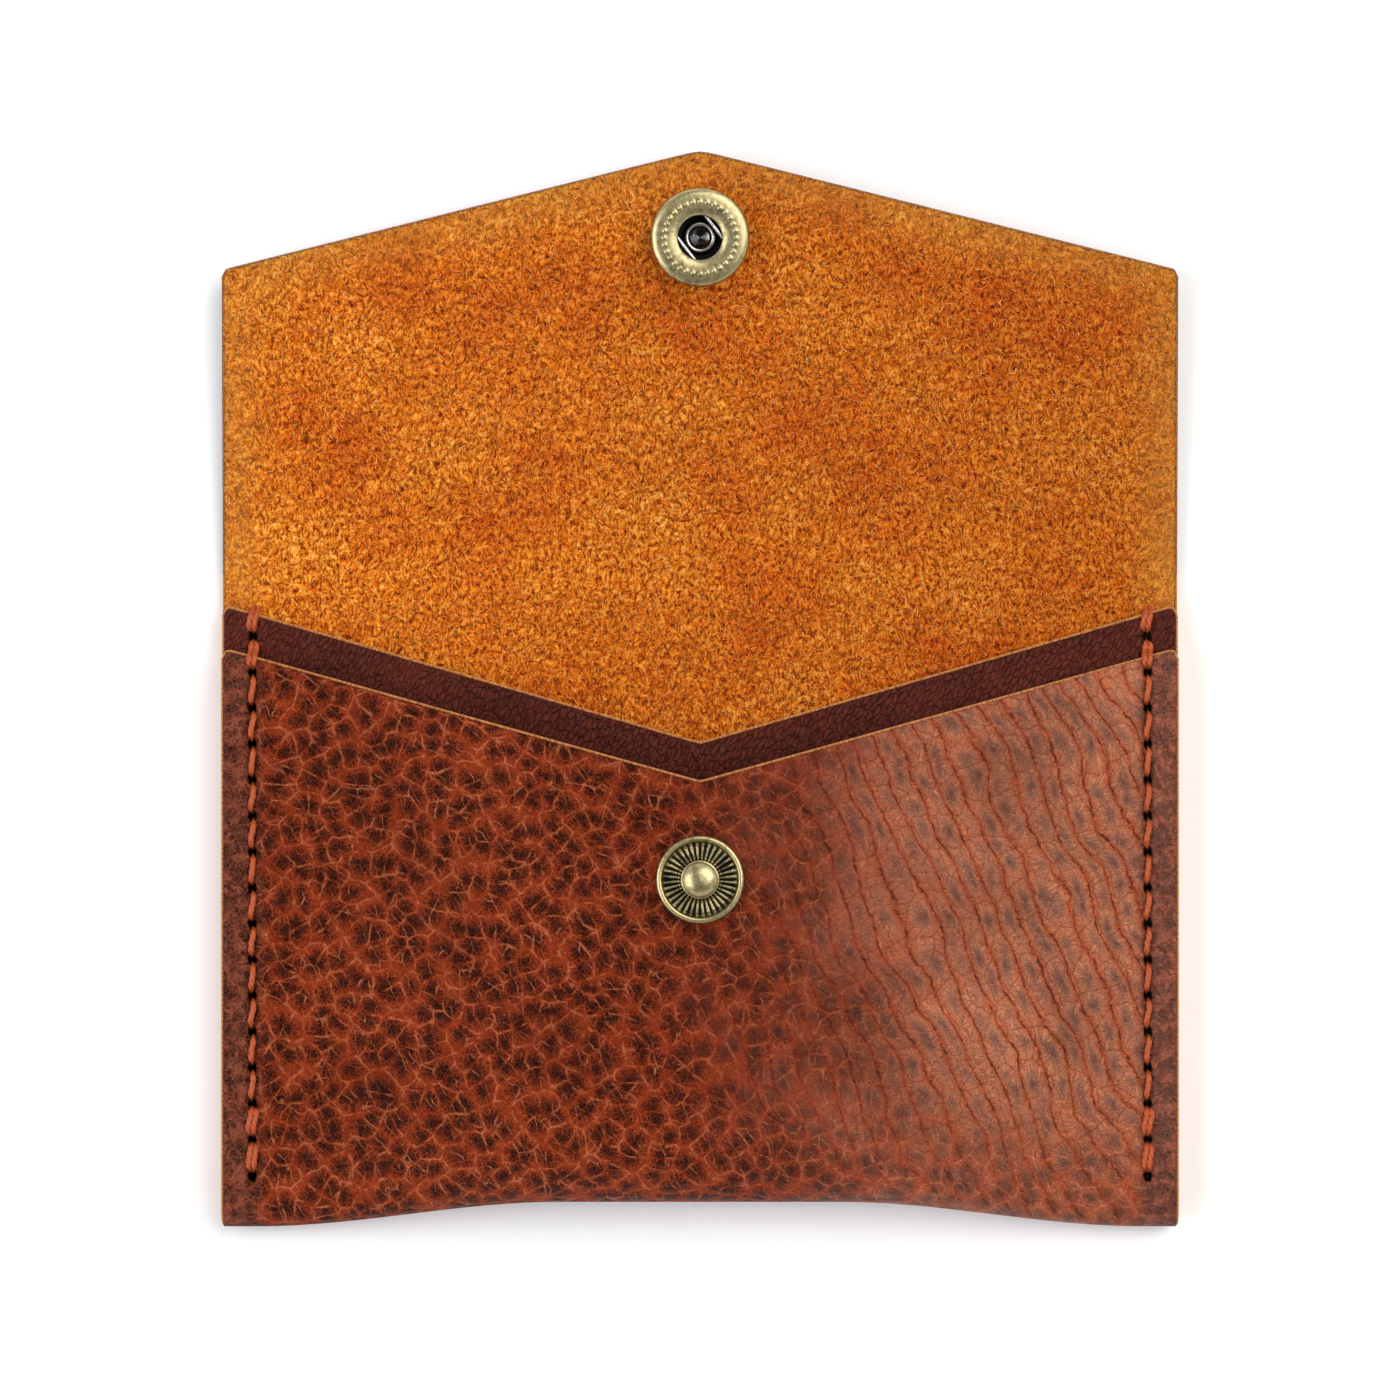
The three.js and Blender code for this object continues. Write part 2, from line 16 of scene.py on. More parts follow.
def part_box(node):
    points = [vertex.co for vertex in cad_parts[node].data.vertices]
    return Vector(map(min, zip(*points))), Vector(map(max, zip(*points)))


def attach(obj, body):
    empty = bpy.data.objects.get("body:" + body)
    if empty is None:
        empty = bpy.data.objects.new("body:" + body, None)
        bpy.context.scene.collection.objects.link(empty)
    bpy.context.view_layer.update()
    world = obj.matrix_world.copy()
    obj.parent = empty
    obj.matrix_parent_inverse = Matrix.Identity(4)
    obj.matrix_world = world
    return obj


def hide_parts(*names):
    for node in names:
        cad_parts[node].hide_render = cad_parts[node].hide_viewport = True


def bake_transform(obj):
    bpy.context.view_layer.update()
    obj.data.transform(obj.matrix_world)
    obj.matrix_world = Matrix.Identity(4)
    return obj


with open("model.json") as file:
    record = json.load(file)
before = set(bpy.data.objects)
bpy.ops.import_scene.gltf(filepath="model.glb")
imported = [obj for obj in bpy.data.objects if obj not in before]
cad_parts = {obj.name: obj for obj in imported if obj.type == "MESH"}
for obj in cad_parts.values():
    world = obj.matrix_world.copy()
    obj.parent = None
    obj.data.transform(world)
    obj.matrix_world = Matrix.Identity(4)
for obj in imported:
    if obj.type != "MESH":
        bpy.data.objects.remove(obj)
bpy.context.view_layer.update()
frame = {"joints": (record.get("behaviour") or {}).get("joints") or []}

# %% [markdown]
# Three small helpers do the work that every piece needs. One turns an sRGB hex colour into the
# linear numbers that shaders use, one adds a node with its settings and links, and one puts whole
# numpy arrays of points and faces into a mesh, so that no vertex is ever handled in a loop.

# %% Helpers for colours, nodes and meshes
MM = 0.001


def hex_linear(code):
    """Linear colour: each sRGB channel c becomes ((c + 0.055) / 1.055) ** 2.4, or c / 12.92 when dark."""
    channels = np.array([int(code[i : i + 2], 16) for i in (1, 3, 5)]) / 255
    linear = np.where(channels <= 0.04045, channels / 12.92, ((channels + 0.055) / 1.055) ** 2.4)
    return (*map(float, linear), 1.0)


def add_node(tree, kind, links=None, **settings):
    """One node. Settings are its own properties, or inputs by name; links are input name to output."""
    node = tree.nodes.new(kind)
    for name, value in settings.items():
        if hasattr(node, name):
            setattr(node, name, value)
        else:
            node.inputs[name.replace("_", " ")].default_value = value
    for name, output in (links or {}).items():
        tree.links.new(output, node.inputs[name])
    return node


def new_material(name, **settings):
    """A material named for the real one, with its Principled shader's plain numbers set."""
    material = bpy.data.materials.new(name)
    material.use_nodes = True
    shader = material.node_tree.nodes["Principled BSDF"]
    for key, value in settings.items():
        shader.inputs[key.replace("_", " ")].default_value = value
    return material, material.node_tree, shader


def ramp(tree, fac, stops):
    """A colour ramp with stops as (place, hex colour)."""
    node = add_node(tree, "ShaderNodeValToRGB", {"Fac": fac})
    elements = node.color_ramp.elements
    while len(elements) < len(stops):
        elements.new(1.0)
    for element, (place, code) in zip(elements, stops):
        element.position = place
        element.color = hex_linear(code)
    return node.outputs["Color"]


def mix_colours(tree, fac, first, second, blend_type="MIX"):
    """first where fac is 0, second where it is 1."""
    node = add_node(tree, "ShaderNodeMix", data_type="RGBA", blend_type=blend_type)
    for socket, value in ((0, fac), (6, first), (7, second)):
        if isinstance(value, (int, float, tuple)):
            node.inputs[socket].default_value = value
        else:
            tree.links.new(value, node.inputs[socket])
    return node.outputs[2]


def sums(tree, operation, *values):
    """One Math node; values are outputs or numbers."""
    node = add_node(tree, "ShaderNodeMath", operation=operation)
    for socket, value in zip(node.inputs, values):
        if isinstance(value, (int, float)):
            socket.default_value = value
        else:
            tree.links.new(value, socket)
    return node.outputs[0]


def stretch(tree, value, low, high, to_low=0.0, to_high=1.0, smooth=True):
    """value from low..high to to_low..to_high, held at both ends."""
    node = add_node(tree, "ShaderNodeMapRange", {"Value": value},
                    interpolation_type="SMOOTHSTEP" if smooth else "LINEAR",
                    From_Min=low, From_Max=high, To_Min=to_low, To_Max=to_high)
    return node.outputs[0]


def bump(tree, height, distance, strength):
    """A bump of that many metres from a height of 0 to 1."""
    node = add_node(tree, "ShaderNodeBump", {"Height": height}, Distance=distance, Strength=strength)
    return node.outputs["Normal"]


def mesh_piece(name, points, faces, materials, face_material=None, uv=None, smooth=True, **attributes):
    """Object at the origin from arrays: points in millimetres, faces as rows of 3 or 4 indices."""
    mesh = bpy.data.meshes.new(name)
    rows, sides = faces.shape
    mesh.vertices.add(len(points))
    mesh.vertices.foreach_set("co", (points * MM).astype(np.float32).ravel())
    mesh.loops.add(rows * sides)
    mesh.loops.foreach_set("vertex_index", faces.astype(np.int32).ravel())
    mesh.polygons.add(rows)
    mesh.polygons.foreach_set("loop_start", np.arange(0, rows * sides, sides, dtype=np.int32))
    mesh.polygons.foreach_set("use_smooth", np.full(rows, smooth))
    if face_material is not None:
        mesh.polygons.foreach_set("material_index", face_material.astype(np.int32))
    if uv is not None:
        layer = mesh.uv_layers.new(name="surface")
        layer.data.foreach_set("uv", (uv[faces.ravel()] * MM).astype(np.float32).ravel())
    for key, values in attributes.items():
        layer = mesh.attributes.new(key, "FLOAT", "POINT")
        layer.data.foreach_set("value", values.astype(np.float32))
    mesh.update(calc_edges=True)
    mesh.validate()
    piece = bpy.data.objects.new(name, mesh)
    bpy.context.collection.objects.link(piece)
    for material in materials:
        mesh.materials.append(material)
    return piece


def face_outwards(piece):
    """Recalculates the normals of a closed mesh so that all of them point out."""
    shape = bmesh.new()
    shape.from_mesh(piece.data)
    bmesh.ops.recalc_face_normals(shape, faces=shape.faces)
    shape.to_mesh(piece.data)
    shape.free()


# %% [markdown]
# The wallet's sizes are the maker's pattern: widths, leather thickness, the heights of the V cuts
# and the snap's place. They are the measured model's own values, in millimetres, with y = 0 at the
# lowest point of the bottom fold while a shape is worked out.

# %% The pattern's sizes
pouch_low, pouch_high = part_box("pouch_leather")
FOLD_Y = pouch_low.y / MM
HALF_WIDTH = (pouch_high.x - pouch_low.x) / MM / 2
LEATHER, DIVIDER_LEATHER, LAYER_GAP = 1.7, 1.3, 0.15
BACK_HEIGHT, SNAP_REACH, SNAP_TO_POINT = 75.35, 35.95, 10.15
FRONT_NOTCH_Y, FRONT_NOTCH_RISE = 50.5, 15.0
DIVIDER_NOTCH_Y, DIVIDER_NOTCH_RISE = 54.8, 15.6
FLAP_POINT_RISE, CORNER_RADIUS = 13.5, 1.3
FOLD_BULGE, MOUTH_BULGE, BULGE_FLAT_HALF, FOLD_ARCH = 7.8, 6.0, 16.0, 3.0
DIVIDER_LIFT, DIVIDER_FOOT_CLEARANCE = 1.05, 0.6
SEAT_GAP = 0.1
SEAM_X, THREAD = HALF_WIDTH - 3.5, 0.66
STITCH_COUNT, LAST_HOLE_Y, FIRST_HOLE_ABOVE_DIVIDER = 16, 5.85, 1.4
STACK = 2 * LEATHER + DIVIDER_LEATHER + 2 * LAYER_GAP
DIVIDER_TOP = LEATHER + LAYER_GAP + DIVIDER_LEATHER
STUD_Y = BACK_HEIGHT - SNAP_REACH
FRONT_TOP = STACK + MOUTH_BULGE
flap_joint = next(joint for joint in frame["joints"] if joint["name"] == "flap_fold")
AXIS_HEIGHT = flap_joint["pos_m"][2] / MM
print("fold at y =", round(FOLD_Y, 2), "mm, half width", round(HALF_WIDTH, 2), "mm")


def smoothstep(value, low, high):
    """0 below low, 1 above high, and 3 t^2 - 2 t^3 between them."""
    share = np.clip((value - low) / (high - low), 0, 1)
    return share * share * (3 - 2 * share)


def bulge_share(x):
    """How much of the full bulge is left at x: 1 in the middle, falling smoothly to 0 at the seams."""
    return 1 - smoothstep(np.abs(x), BULGE_FLAT_HALF, SEAM_X - THREAD)


def fold_radius(x):
    """Outer radius of the bottom fold: half of the stack of layers and its bulge."""
    return (STACK + FOLD_BULGE * bulge_share(x)) / 2


def fold_centre(x):
    """The fold's centre: the full bulge pulls the fold's lowest edge up by the arch."""
    return FOLD_ARCH * bulge_share(x) + fold_radius(x)


def front_top(x, y):
    """Height of the front's grain face: the fold's bulge settles to the mouth's on the way up."""
    settled = smoothstep(y, FOLD_ARCH + (STACK + FOLD_BULGE) / 2, STUD_Y - 9.9)
    return STACK + (FOLD_BULGE + (MOUTH_BULGE - FOLD_BULGE) * settled) * bulge_share(x)


def corner_drop(x, radius):
    """How far a quarter-circle corner of that radius takes the edge down near the sides."""
    beyond = np.clip(np.abs(x) - (HALF_WIDTH - radius), 0, radius)
    return radius - np.sqrt(radius**2 - beyond**2)


def notched_edge(x, notch_y, rise):
    """Upper edge of a V-cut panel: straight lines up from the notch, with rounded outer corners."""
    soft_x = np.hypot(x, 0.15) - 0.15
    return notch_y + rise * soft_x / HALF_WIDTH - corner_drop(x, CORNER_RADIUS)


def flap_edge(x):
    """The flap's length from the crease at x: two straight slopes that meet in a soft point."""
    soft_x = np.hypot(x, 0.7) - 0.7
    slopes = SNAP_REACH + SNAP_TO_POINT - FLAP_POINT_RISE * soft_x / HALF_WIDTH
    return slopes - corner_drop(x, CORNER_RADIUS * 0.6)


FRONT_SEAM_EDGE = float(notched_edge(SEAM_X, FRONT_NOTCH_Y, FRONT_NOTCH_RISE))
DIVIDER_SEAM_EDGE = float(notched_edge(SEAM_X, DIVIDER_NOTCH_Y, DIVIDER_NOTCH_RISE))
HOLES = np.linspace(DIVIDER_SEAM_EDGE + FIRST_HOLE_ABOVE_DIVIDER, LAST_HOLE_Y, STITCH_COUNT + 1)
STITCH_PITCH = HOLES[0] - HOLES[1]

# %% [markdown]
# Leather is never quite flat. A few slow waves of different directions, added together, give the
# panels their gentle unevenness. The seams are pressed down into a valley where the needle went,
# and every stitch hole is a small pit that the thread dives into.

# %% Waves, seam valleys and stitch holes


def slow_waves(x, y, seed):
    """Sum of seven plane waves of 9 to 40 mm with random directions and phases, about -1 to 1."""
    random = np.random.default_rng(seed)
    total = np.zeros(np.broadcast(x, y).shape)
    for length, angle, phase in zip(random.uniform(9, 40, 7), random.uniform(0, np.pi, 7),
                                    random.uniform(0, 2 * np.pi, 7)):
        along = x * np.cos(angle) + y * np.sin(angle)
        total += np.sin(2 * np.pi * along / length + phase) * length / 40
    return total / 2.4


def seam_valley(x):
    """Depth share of the pressed valley: a bell curve centred on each stitch line."""
    return np.exp(-(((np.abs(x) - SEAM_X) / 0.62) ** 2))


def hole_pits(x, y, half_length=0.72, half_width=0.5):
    """1 in the middle of a stitch hole, 0 outside it: a soft slot at each hole along both seams."""
    nearest = np.abs(y[..., None] - HOLES).min(axis=-1)
    slot = (nearest / half_length) ** 2 + ((np.abs(x) - SEAM_X) / half_width) ** 2
    return np.clip(1.25 - slot, 0, 1)


def columns_across():
    """Grid columns: 0.75 mm apart over the panel, 0.22 mm over the seams, and finer at the cut edge."""
    middle = np.linspace(-(SEAM_X - 2.2), SEAM_X - 2.2, 131)
    seam = np.linspace(SEAM_X - 2.2, SEAM_X + 2, 20)[1:]
    edge = HALF_WIDTH - np.array([1.15, 0.8, 0.55, 0.4, 0])
    side = np.concatenate([seam, edge])
    return np.concatenate([-side[::-1], middle, side])


# %% [markdown]
# The leather blank is one sheet from the front panel's mouth, round the bottom fold, up the back and
# over the crease to the flap's point. It could be four separate panels, but a real blank has no
# joints, and a single sheet can bend over the crease when the flap closes. Its two faces are grids of
# points, and a narrow wall joins them all round as the cut edge, with a small bevel.

# %% Shape of the leather blank
CREASE_START, CREASE_END = 72.0, 79.5
FRONT_ROWS = 125
LEAN = float(np.radians(180 - flap_joint["range_deg"][1]))


def blank_face(x, inward):
    """Grid of one face, inward millimetres under the grain: rows run from the mouth to the flap."""
    x = x[None, :]
    share = np.linspace(0, 1, FRONT_ROWS + 1)[:-1, None]
    edge = notched_edge(x, FRONT_NOTCH_Y, FRONT_NOTCH_RISE)
    front_y = edge + (fold_centre(x) - edge) * share
    front_z = front_top(x, front_y) - inward
    angle = np.pi * (0.5 + np.linspace(0, 1, 25)[:, None])
    radius = fold_radius(x) - inward
    fold_y = fold_centre(x) + radius * np.cos(angle)
    fold_z = fold_radius(x) + radius * np.sin(angle)
    back_share = np.linspace(0, 1, 40)[1:, None]
    back_y = fold_centre(x) + (CREASE_START - fold_centre(x)) * back_share
    back_z = np.full(back_y.shape, float(inward))
    crease = np.linspace(0, CREASE_END - CREASE_START, 21)[1:, None] + CREASE_START
    flap_share = np.linspace(0, 1, 47)[1:, None]
    end_y = BACK_HEIGHT + flap_edge(x) * np.cos(LEAN)
    flap_y = np.concatenate([crease + 0 * x, CREASE_END + (end_y - CREASE_END) * flap_share])
    bend = np.clip(flap_y - (BACK_HEIGHT - 2.5), 0, None)
    rise = np.where(bend < 5, bend**2 / 10, bend - 2.5)
    flap_z = inward + rise * np.tan(LEAN)
    y = np.concatenate([front_y, fold_y, back_y, flap_y])
    z = np.concatenate([front_z, fold_z, back_z, flap_z])
    return np.stack([np.broadcast_to(x, y.shape), y, z], axis=-1)


def height_on_hide(face, gain=1.0):
    """Where each point lies on the flat hide: its column's first y, less the way travelled from there.
    A gain above 1 packs the pattern closer, where the leather is drawn out when the flap closes."""
    steps = np.linalg.norm(np.diff(face, axis=0), axis=-1) * gain
    return face[0, :, 1] - np.concatenate([0 * face[:1, :, 1], np.cumsum(steps, axis=0)])


def outward_normals(face):
    """Unit normals of a grid, from the cross product of its two directions."""
    across = np.gradient(face, axis=1)
    along = np.gradient(face, axis=0)
    normal = np.cross(across, along)
    return normal / np.linalg.norm(normal, axis=-1, keepdims=True)


def closed_sheet(name, upper, lower, heights, bevel, materials, **attributes):
    """Closes two equal grids of points with a bevelled wall of three steps all round. heights holds
    both faces' places on the flat hide, for the UV map."""
    rows, columns = upper.shape[:2]
    index = np.arange(rows * columns).reshape(rows, columns)
    loop = np.concatenate([index[0, :-1], index[:-1, -1], index[-1, :0:-1], index[:0:-1, 0]])
    top, bottom = upper.reshape(-1, 3).copy(), lower.reshape(-1, 3).copy()
    rim_top, rim_bottom = top[loop].copy(), bottom[loop].copy()
    ahead = np.roll(rim_top, -1, axis=0) - np.roll(rim_top, 1, axis=0)
    thick = rim_bottom - rim_top
    out = np.cross(ahead, thick)
    out /= np.linalg.norm(out, axis=1, keepdims=True) + 1e-9
    centre = upper.reshape(-1, 3).mean(axis=0)
    inner = np.concatenate([index[1, :-1], index[:-1, -2], index[-2, :0:-1], index[:0:-1, 1]])
    flip = np.sign(np.sum(out * (rim_top - top[inner]), axis=1, keepdims=True))
    out *= np.where(flip == 0, 1, flip)
    top[loop] -= out * bevel
    bottom[loop] -= out * bevel * 0.8
    steps = [0.2, 0.5, 0.82]
    walls = [rim_top + thick * step for step in steps]
    points = np.concatenate([top, bottom, *walls])
    count, ring = rows * columns, len(loop)
    quads = np.stack([index[:-1, :-1], index[:-1, 1:], index[1:, 1:], index[1:, :-1]], axis=-1).reshape(-1, 4)
    chain = [loop, *[2 * count + ring * i + np.arange(ring) for i in range(len(steps))], loop + count]
    wall_quads = [np.stack([a, np.roll(a, -1), np.roll(b, -1), b], axis=1) for a, b in zip(chain, chain[1:])]
    faces = np.concatenate([quads, quads[:, ::-1] + count, *wall_quads])
    kinds = np.concatenate([np.zeros(len(quads)), np.ones(len(quads)), np.full(ring * (len(steps) + 1), 2)])
    flat, flat_below = (np.stack([upper[..., 0], height], axis=-1).reshape(-1, 2) for height in heights)
    uv = np.concatenate([flat, flat_below, *[flat_below[loop]] * len(steps)])
    depth = np.concatenate([np.zeros(count), np.ones(count), *[np.full(ring, step) for step in steps]])
    spread = {key: np.concatenate([values.ravel()] * 2 + [values.ravel()[loop]] * len(steps))
              for key, values in attributes.items()}
    piece = mesh_piece(name, points, faces, materials, kinds, uv, depth=depth, **spread)
    face_outwards(piece)
    return piece


# %% [markdown]
# Pull-up leather is soaked in wax and oil, so it darkens where it is thick and lightens where it is
# stretched. The pebbles of its grain stay dark and the creases between them turn orange. The pebbles
# are Voronoi cells of about 2.4 mm. Noise contours could draw the creases too, but they close into
# blotchy curls, while the borders of cells meet in corners as real creases do. On the right the hide
# was pulled into slanting folds 2.5 mm apart, which are a back-and-forth ramp bent by noise. Its paler,
# greyer colour there is partly that stretched leather and partly painted sheen: the glint of the light
# on that side is laid into the colour. The pattern reads the blank's own UV map, in metres, so it stays
# put when the flap bends.

# %% Leather grain


def surface_point(tree, scale=(1000, 1000, 1), turn=0.0):
    """The piece's UV map, scaled so that 1 is a millimetre, and turned."""
    uv = add_node(tree, "ShaderNodeUVMap", uv_map="surface")
    return add_node(tree, "ShaderNodeMapping", {"Vector": uv.outputs[0]}, Scale=scale,
                    Rotation=(0, 0, turn)).outputs[0]


def wobble(tree, point, size_mm, reach_mm, detail=2.0):
    """point moved about by noise: size_mm is the noise's scale and reach_mm how far it moves."""
    noise = add_node(tree, "ShaderNodeTexNoise", {"Vector": point}, Scale=1 / size_mm, Detail=detail)
    centred = add_node(tree, "ShaderNodeVectorMath", {"Vector": noise.outputs["Color"]}, operation="SUBTRACT")
    centred.inputs[1].default_value = (0.5, 0.5, 0.5)
    moved = add_node(tree, "ShaderNodeVectorMath", {0: centred.outputs[0], 2: point},
                     operation="MULTIPLY_ADD")
    moved.inputs[1].default_value = (2 * reach_mm, 2 * reach_mm, 0)
    return moved.outputs[0]


def noise_value(tree, point, size_mm, detail=3.0, roughness=0.55):
    """Noise of 0 to 1 with features of about size_mm."""
    return add_node(tree, "ShaderNodeTexNoise", {"Vector": point}, Scale=1 / size_mm, Detail=detail,
                    Roughness=roughness).outputs["Fac"]


def attribute(tree, name):
    """A number that the mesh carries at each point."""
    return add_node(tree, "ShaderNodeAttribute", attribute_name=name).outputs["Fac"]


def creases(tree, point, size_mm, half_width):
    """1 on the borders of cells of size_mm, fading to 0 within half_width of a cell."""
    edge = add_node(tree, "ShaderNodeTexVoronoi", {"Vector": point}, feature="DISTANCE_TO_EDGE",
                    Scale=1 / size_mm, voronoi_dimensions="2D")
    return stretch(tree, edge.outputs["Distance"], 0, half_width, 1, 0)


def squeezed(tree, point, share):
    """point with its second coordinate shortened, which draws any pattern out that way."""
    return add_node(tree, "ShaderNodeMapping", {"Vector": point}, Scale=(1, share, 1)).outputs[0]


def pebbles(tree, point, size_mm):
    """One pebbled grain: distance from each pebble's middle (0 to about 0.7), distance from its crease,
    and thin wrinkles. The wrinkles come from noise read on a circle round each pebble's middle, so they
    run outwards like spokes."""
    middle = add_node(tree, "ShaderNodeTexVoronoi", {"Vector": point}, feature="F1", Scale=1 / size_mm,
                      voronoi_dimensions="2D", Randomness=0.8)
    crease = add_node(tree, "ShaderNodeTexVoronoi", {"Vector": point}, feature="DISTANCE_TO_EDGE",
                      Scale=1 / size_mm, voronoi_dimensions="2D", Randomness=0.8)
    spoke = add_node(tree, "ShaderNodeVectorMath", {0: point, 1: middle.outputs["Position"]},
                     operation="SUBTRACT")
    heading = add_node(tree, "ShaderNodeVectorMath", {0: spoke.outputs[0]}, operation="NORMALIZE")
    around = add_node(tree, "ShaderNodeVectorMath", {0: heading.outputs[0], 2: middle.outputs["Position"]},
                      operation="MULTIPLY_ADD")
    around.inputs[1].default_value = (3.4, 3.4, 3.4)
    hairs = noise_value(tree, wobble(tree, around.outputs[0], 0.5, 0.3, 3), 0.9, 1, 0.5)
    hair = stretch(tree, sums(tree, "ABSOLUTE", sums(tree, "SUBTRACT", hairs, 0.5)), 0, 0.05, 1, 0)
    return middle.outputs["Distance"], crease.outputs["Distance"], hair


def grain_leather():
    """Waxed pull-up cowhide, milled until its grain breaks into pebbles."""
    material, tree, shader = new_material("pull_up_cowhide", IOR=1.5)
    point = surface_point(tree)
    place = add_node(tree, "ShaderNodeSeparateXYZ", {"Vector": point})
    patches = noise_value(tree, point, 15, 4)
    ragged_x = sums(tree, "ADD", place.outputs["X"], stretch(tree, patches, 0.3, 0.7, -9, 9))
    right = stretch(tree, ragged_x, -16, 38)
    left_point = wobble(tree, wobble(tree, surface_point(tree, turn=-0.6), 7, 1.9), 1.2, 0.4, 3)
    swaying = wobble(tree, wobble(tree, surface_point(tree, turn=-0.42), 14, 3.2), 2.0, 0.4, 3)
    right_point = wobble(tree, swaying, 0.6, 0.3, 5)
    slanted = wobble(tree, wobble(tree, surface_point(tree, turn=-0.6), 6, 1.8), 1.0, 0.3, 3)
    left_far, left_crease, left_hair = pebbles(tree, left_point, 2.35)
    right_far, right_crease, right_hair = pebbles(tree, squeezed(tree, right_point, 0.7), 2.4)
    across = add_node(tree, "ShaderNodeSeparateXYZ", {"Vector": right_point}).outputs["X"]
    fold = sums(tree, "PINGPONG", across, 1.25)
    crinkled = wobble(tree, wobble(tree, point, 2.5, 0.6), 0.5, 0.3, 4)
    fading = stretch(tree, noise_value(tree, point, 1.4, 3), 0.4, 0.6)
    veins = sums(tree, "MULTIPLY", creases(tree, crinkled, 1.1, 0.09), 1.0)
    fine_veins = sums(tree, "MULTIPLY", creases(tree, crinkled, 0.38, 0.17), 0.8)
    tangle = sums(tree, "MAXIMUM", sums(tree, "MAXIMUM", veins, fine_veins),
                  sums(tree, "MULTIPLY", left_hair, 0.7))
    web = sums(tree, "MULTIPLY", sums(tree, "MAXIMUM", stretch(tree, left_crease, 0.0, 0.07, 1.0, 0),
                                      creases(tree, squeezed(tree, slanted, 0.3), 1.9, 0.035)), fading)

    mottle = stretch(tree, noise_value(tree, point, 0.9, 3), 0.3, 0.7, -0.1, 0.1)
    left_body = ramp(tree, sums(tree, "ADD", left_far, mottle),
                     [(0.0, "#140302"), (0.22, "#240604"), (0.4, "#4A1208"), (0.6, "#8A3014")])
    left_lines = sums(tree, "MULTIPLY", tangle, stretch(tree, left_far, 0.08, 0.42, 0.2, 0.8))
    left_worn = mix_colours(tree, left_lines, left_body, hex_linear("#B44E26"))
    left_side = mix_colours(tree, sums(tree, "MULTIPLY", web, 0.7), left_worn, hex_linear("#CC7850"))

    # Painted sheen, in part: the pale greyish pebble tops on the right stand in for the light's glint on
    # them, over the leather's own lighter tone there.
    broken = sums(tree, "ADD", sums(tree, "MULTIPLY", right_far, 0.75),
                  stretch(tree, fold, 0.0, 1.1, 0.36, 0.0))
    right_body = ramp(tree, broken,
                      [(0.04, "#684238"), (0.2, "#8E5C4A"), (0.38, "#B87456"), (0.6, "#C06C46")])
    outer_hair = sums(tree, "MULTIPLY", right_hair, stretch(tree, right_far, 0.1, 0.4, 0.1, 0.8))
    right_lines = sums(tree, "MAXIMUM", outer_hair, sums(tree, "MULTIPLY", veins, 0.7))
    crumbled = mix_colours(tree, sums(tree, "MULTIPLY", fine_veins, 0.55), right_body, hex_linear("#5A2414"))
    right_worn = mix_colours(tree, sums(tree, "MULTIPLY", right_lines, 0.8), crumbled, hex_linear("#D08A66"))
    flush = mix_colours(tree, stretch(tree, fold, 0.0, 0.45, 0.85, 0), right_worn, hex_linear("#B04A1E"))
    fold_lines = sums(tree, "MULTIPLY", stretch(tree, fold, 0.0, 0.17, 1.0, 0),
                      stretch(tree, fading, 0, 1, 0.3, 1))
    right_web = sums(tree, "MAXIMUM", fold_lines, stretch(tree, right_crease, 0.0, 0.05, 0.45, 0))
    creased = mix_colours(tree, right_web, flush, hex_linear("#45130A"))
    # Painted sheen: the right side is darkened towards the middle and keeps its full colour towards the right
    # edge, so it grows lighter where the light glints.
    sheen_gradient = ramp(tree, stretch(tree, place.outputs["X"], -4, 36), [(0.0, "#A87060"), (1.0, "#FFFFFF")])
    right_side = mix_colours(tree, 1.0, creased, sheen_gradient, "MULTIPLY")

    both = mix_colours(tree, right, left_side, right_side)
    warmth = ramp(tree, patches, [(0.3, "#D2C8C0"), (0.5, "#EEE6E0"), (0.7, "#FFFAF4")])
    # Towards the bottom fold the colour goes back to the dark pebbled left-side colour: partly the darker
    # pull-up leather there, partly painted shade where the fold rolls under.
    low = stretch(tree, place.outputs["Y"], 4, 17, 0.62, 0)
    toned = mix_colours(tree, low, mix_colours(tree, 1.0, both, warmth, "MULTIPLY"), left_side)
    scuffs = ramp(tree, noise_value(tree, crinkled, 1.6, 5, 0.75),
                  [(0.42, "#1A0704"), (0.5, "#4A180D"), (0.57, "#8A4430")])
    strip_lines = sums(tree, "MULTIPLY", sums(tree, "MAXIMUM", tangle, web), 0.45)
    strip_skin = mix_colours(tree, strip_lines, scuffs, hex_linear("#96604A"))
    strip = stretch(tree, sums(tree, "ABSOLUTE", place.outputs["X"]), SEAM_X - 2.0, SEAM_X + 0.5)
    panel = mix_colours(tree, sums(tree, "MULTIPLY", strip, 0.85), toned, strip_skin)
    # Painted shade: the stitch holes are coloured near black, for the shadow inside them.
    pit = stretch(tree, attribute(tree, "hole"), 0.1, 0.45)
    tree.links.new(mix_colours(tree, pit, panel, hex_linear("#060202")), shader.inputs["Base Color"])

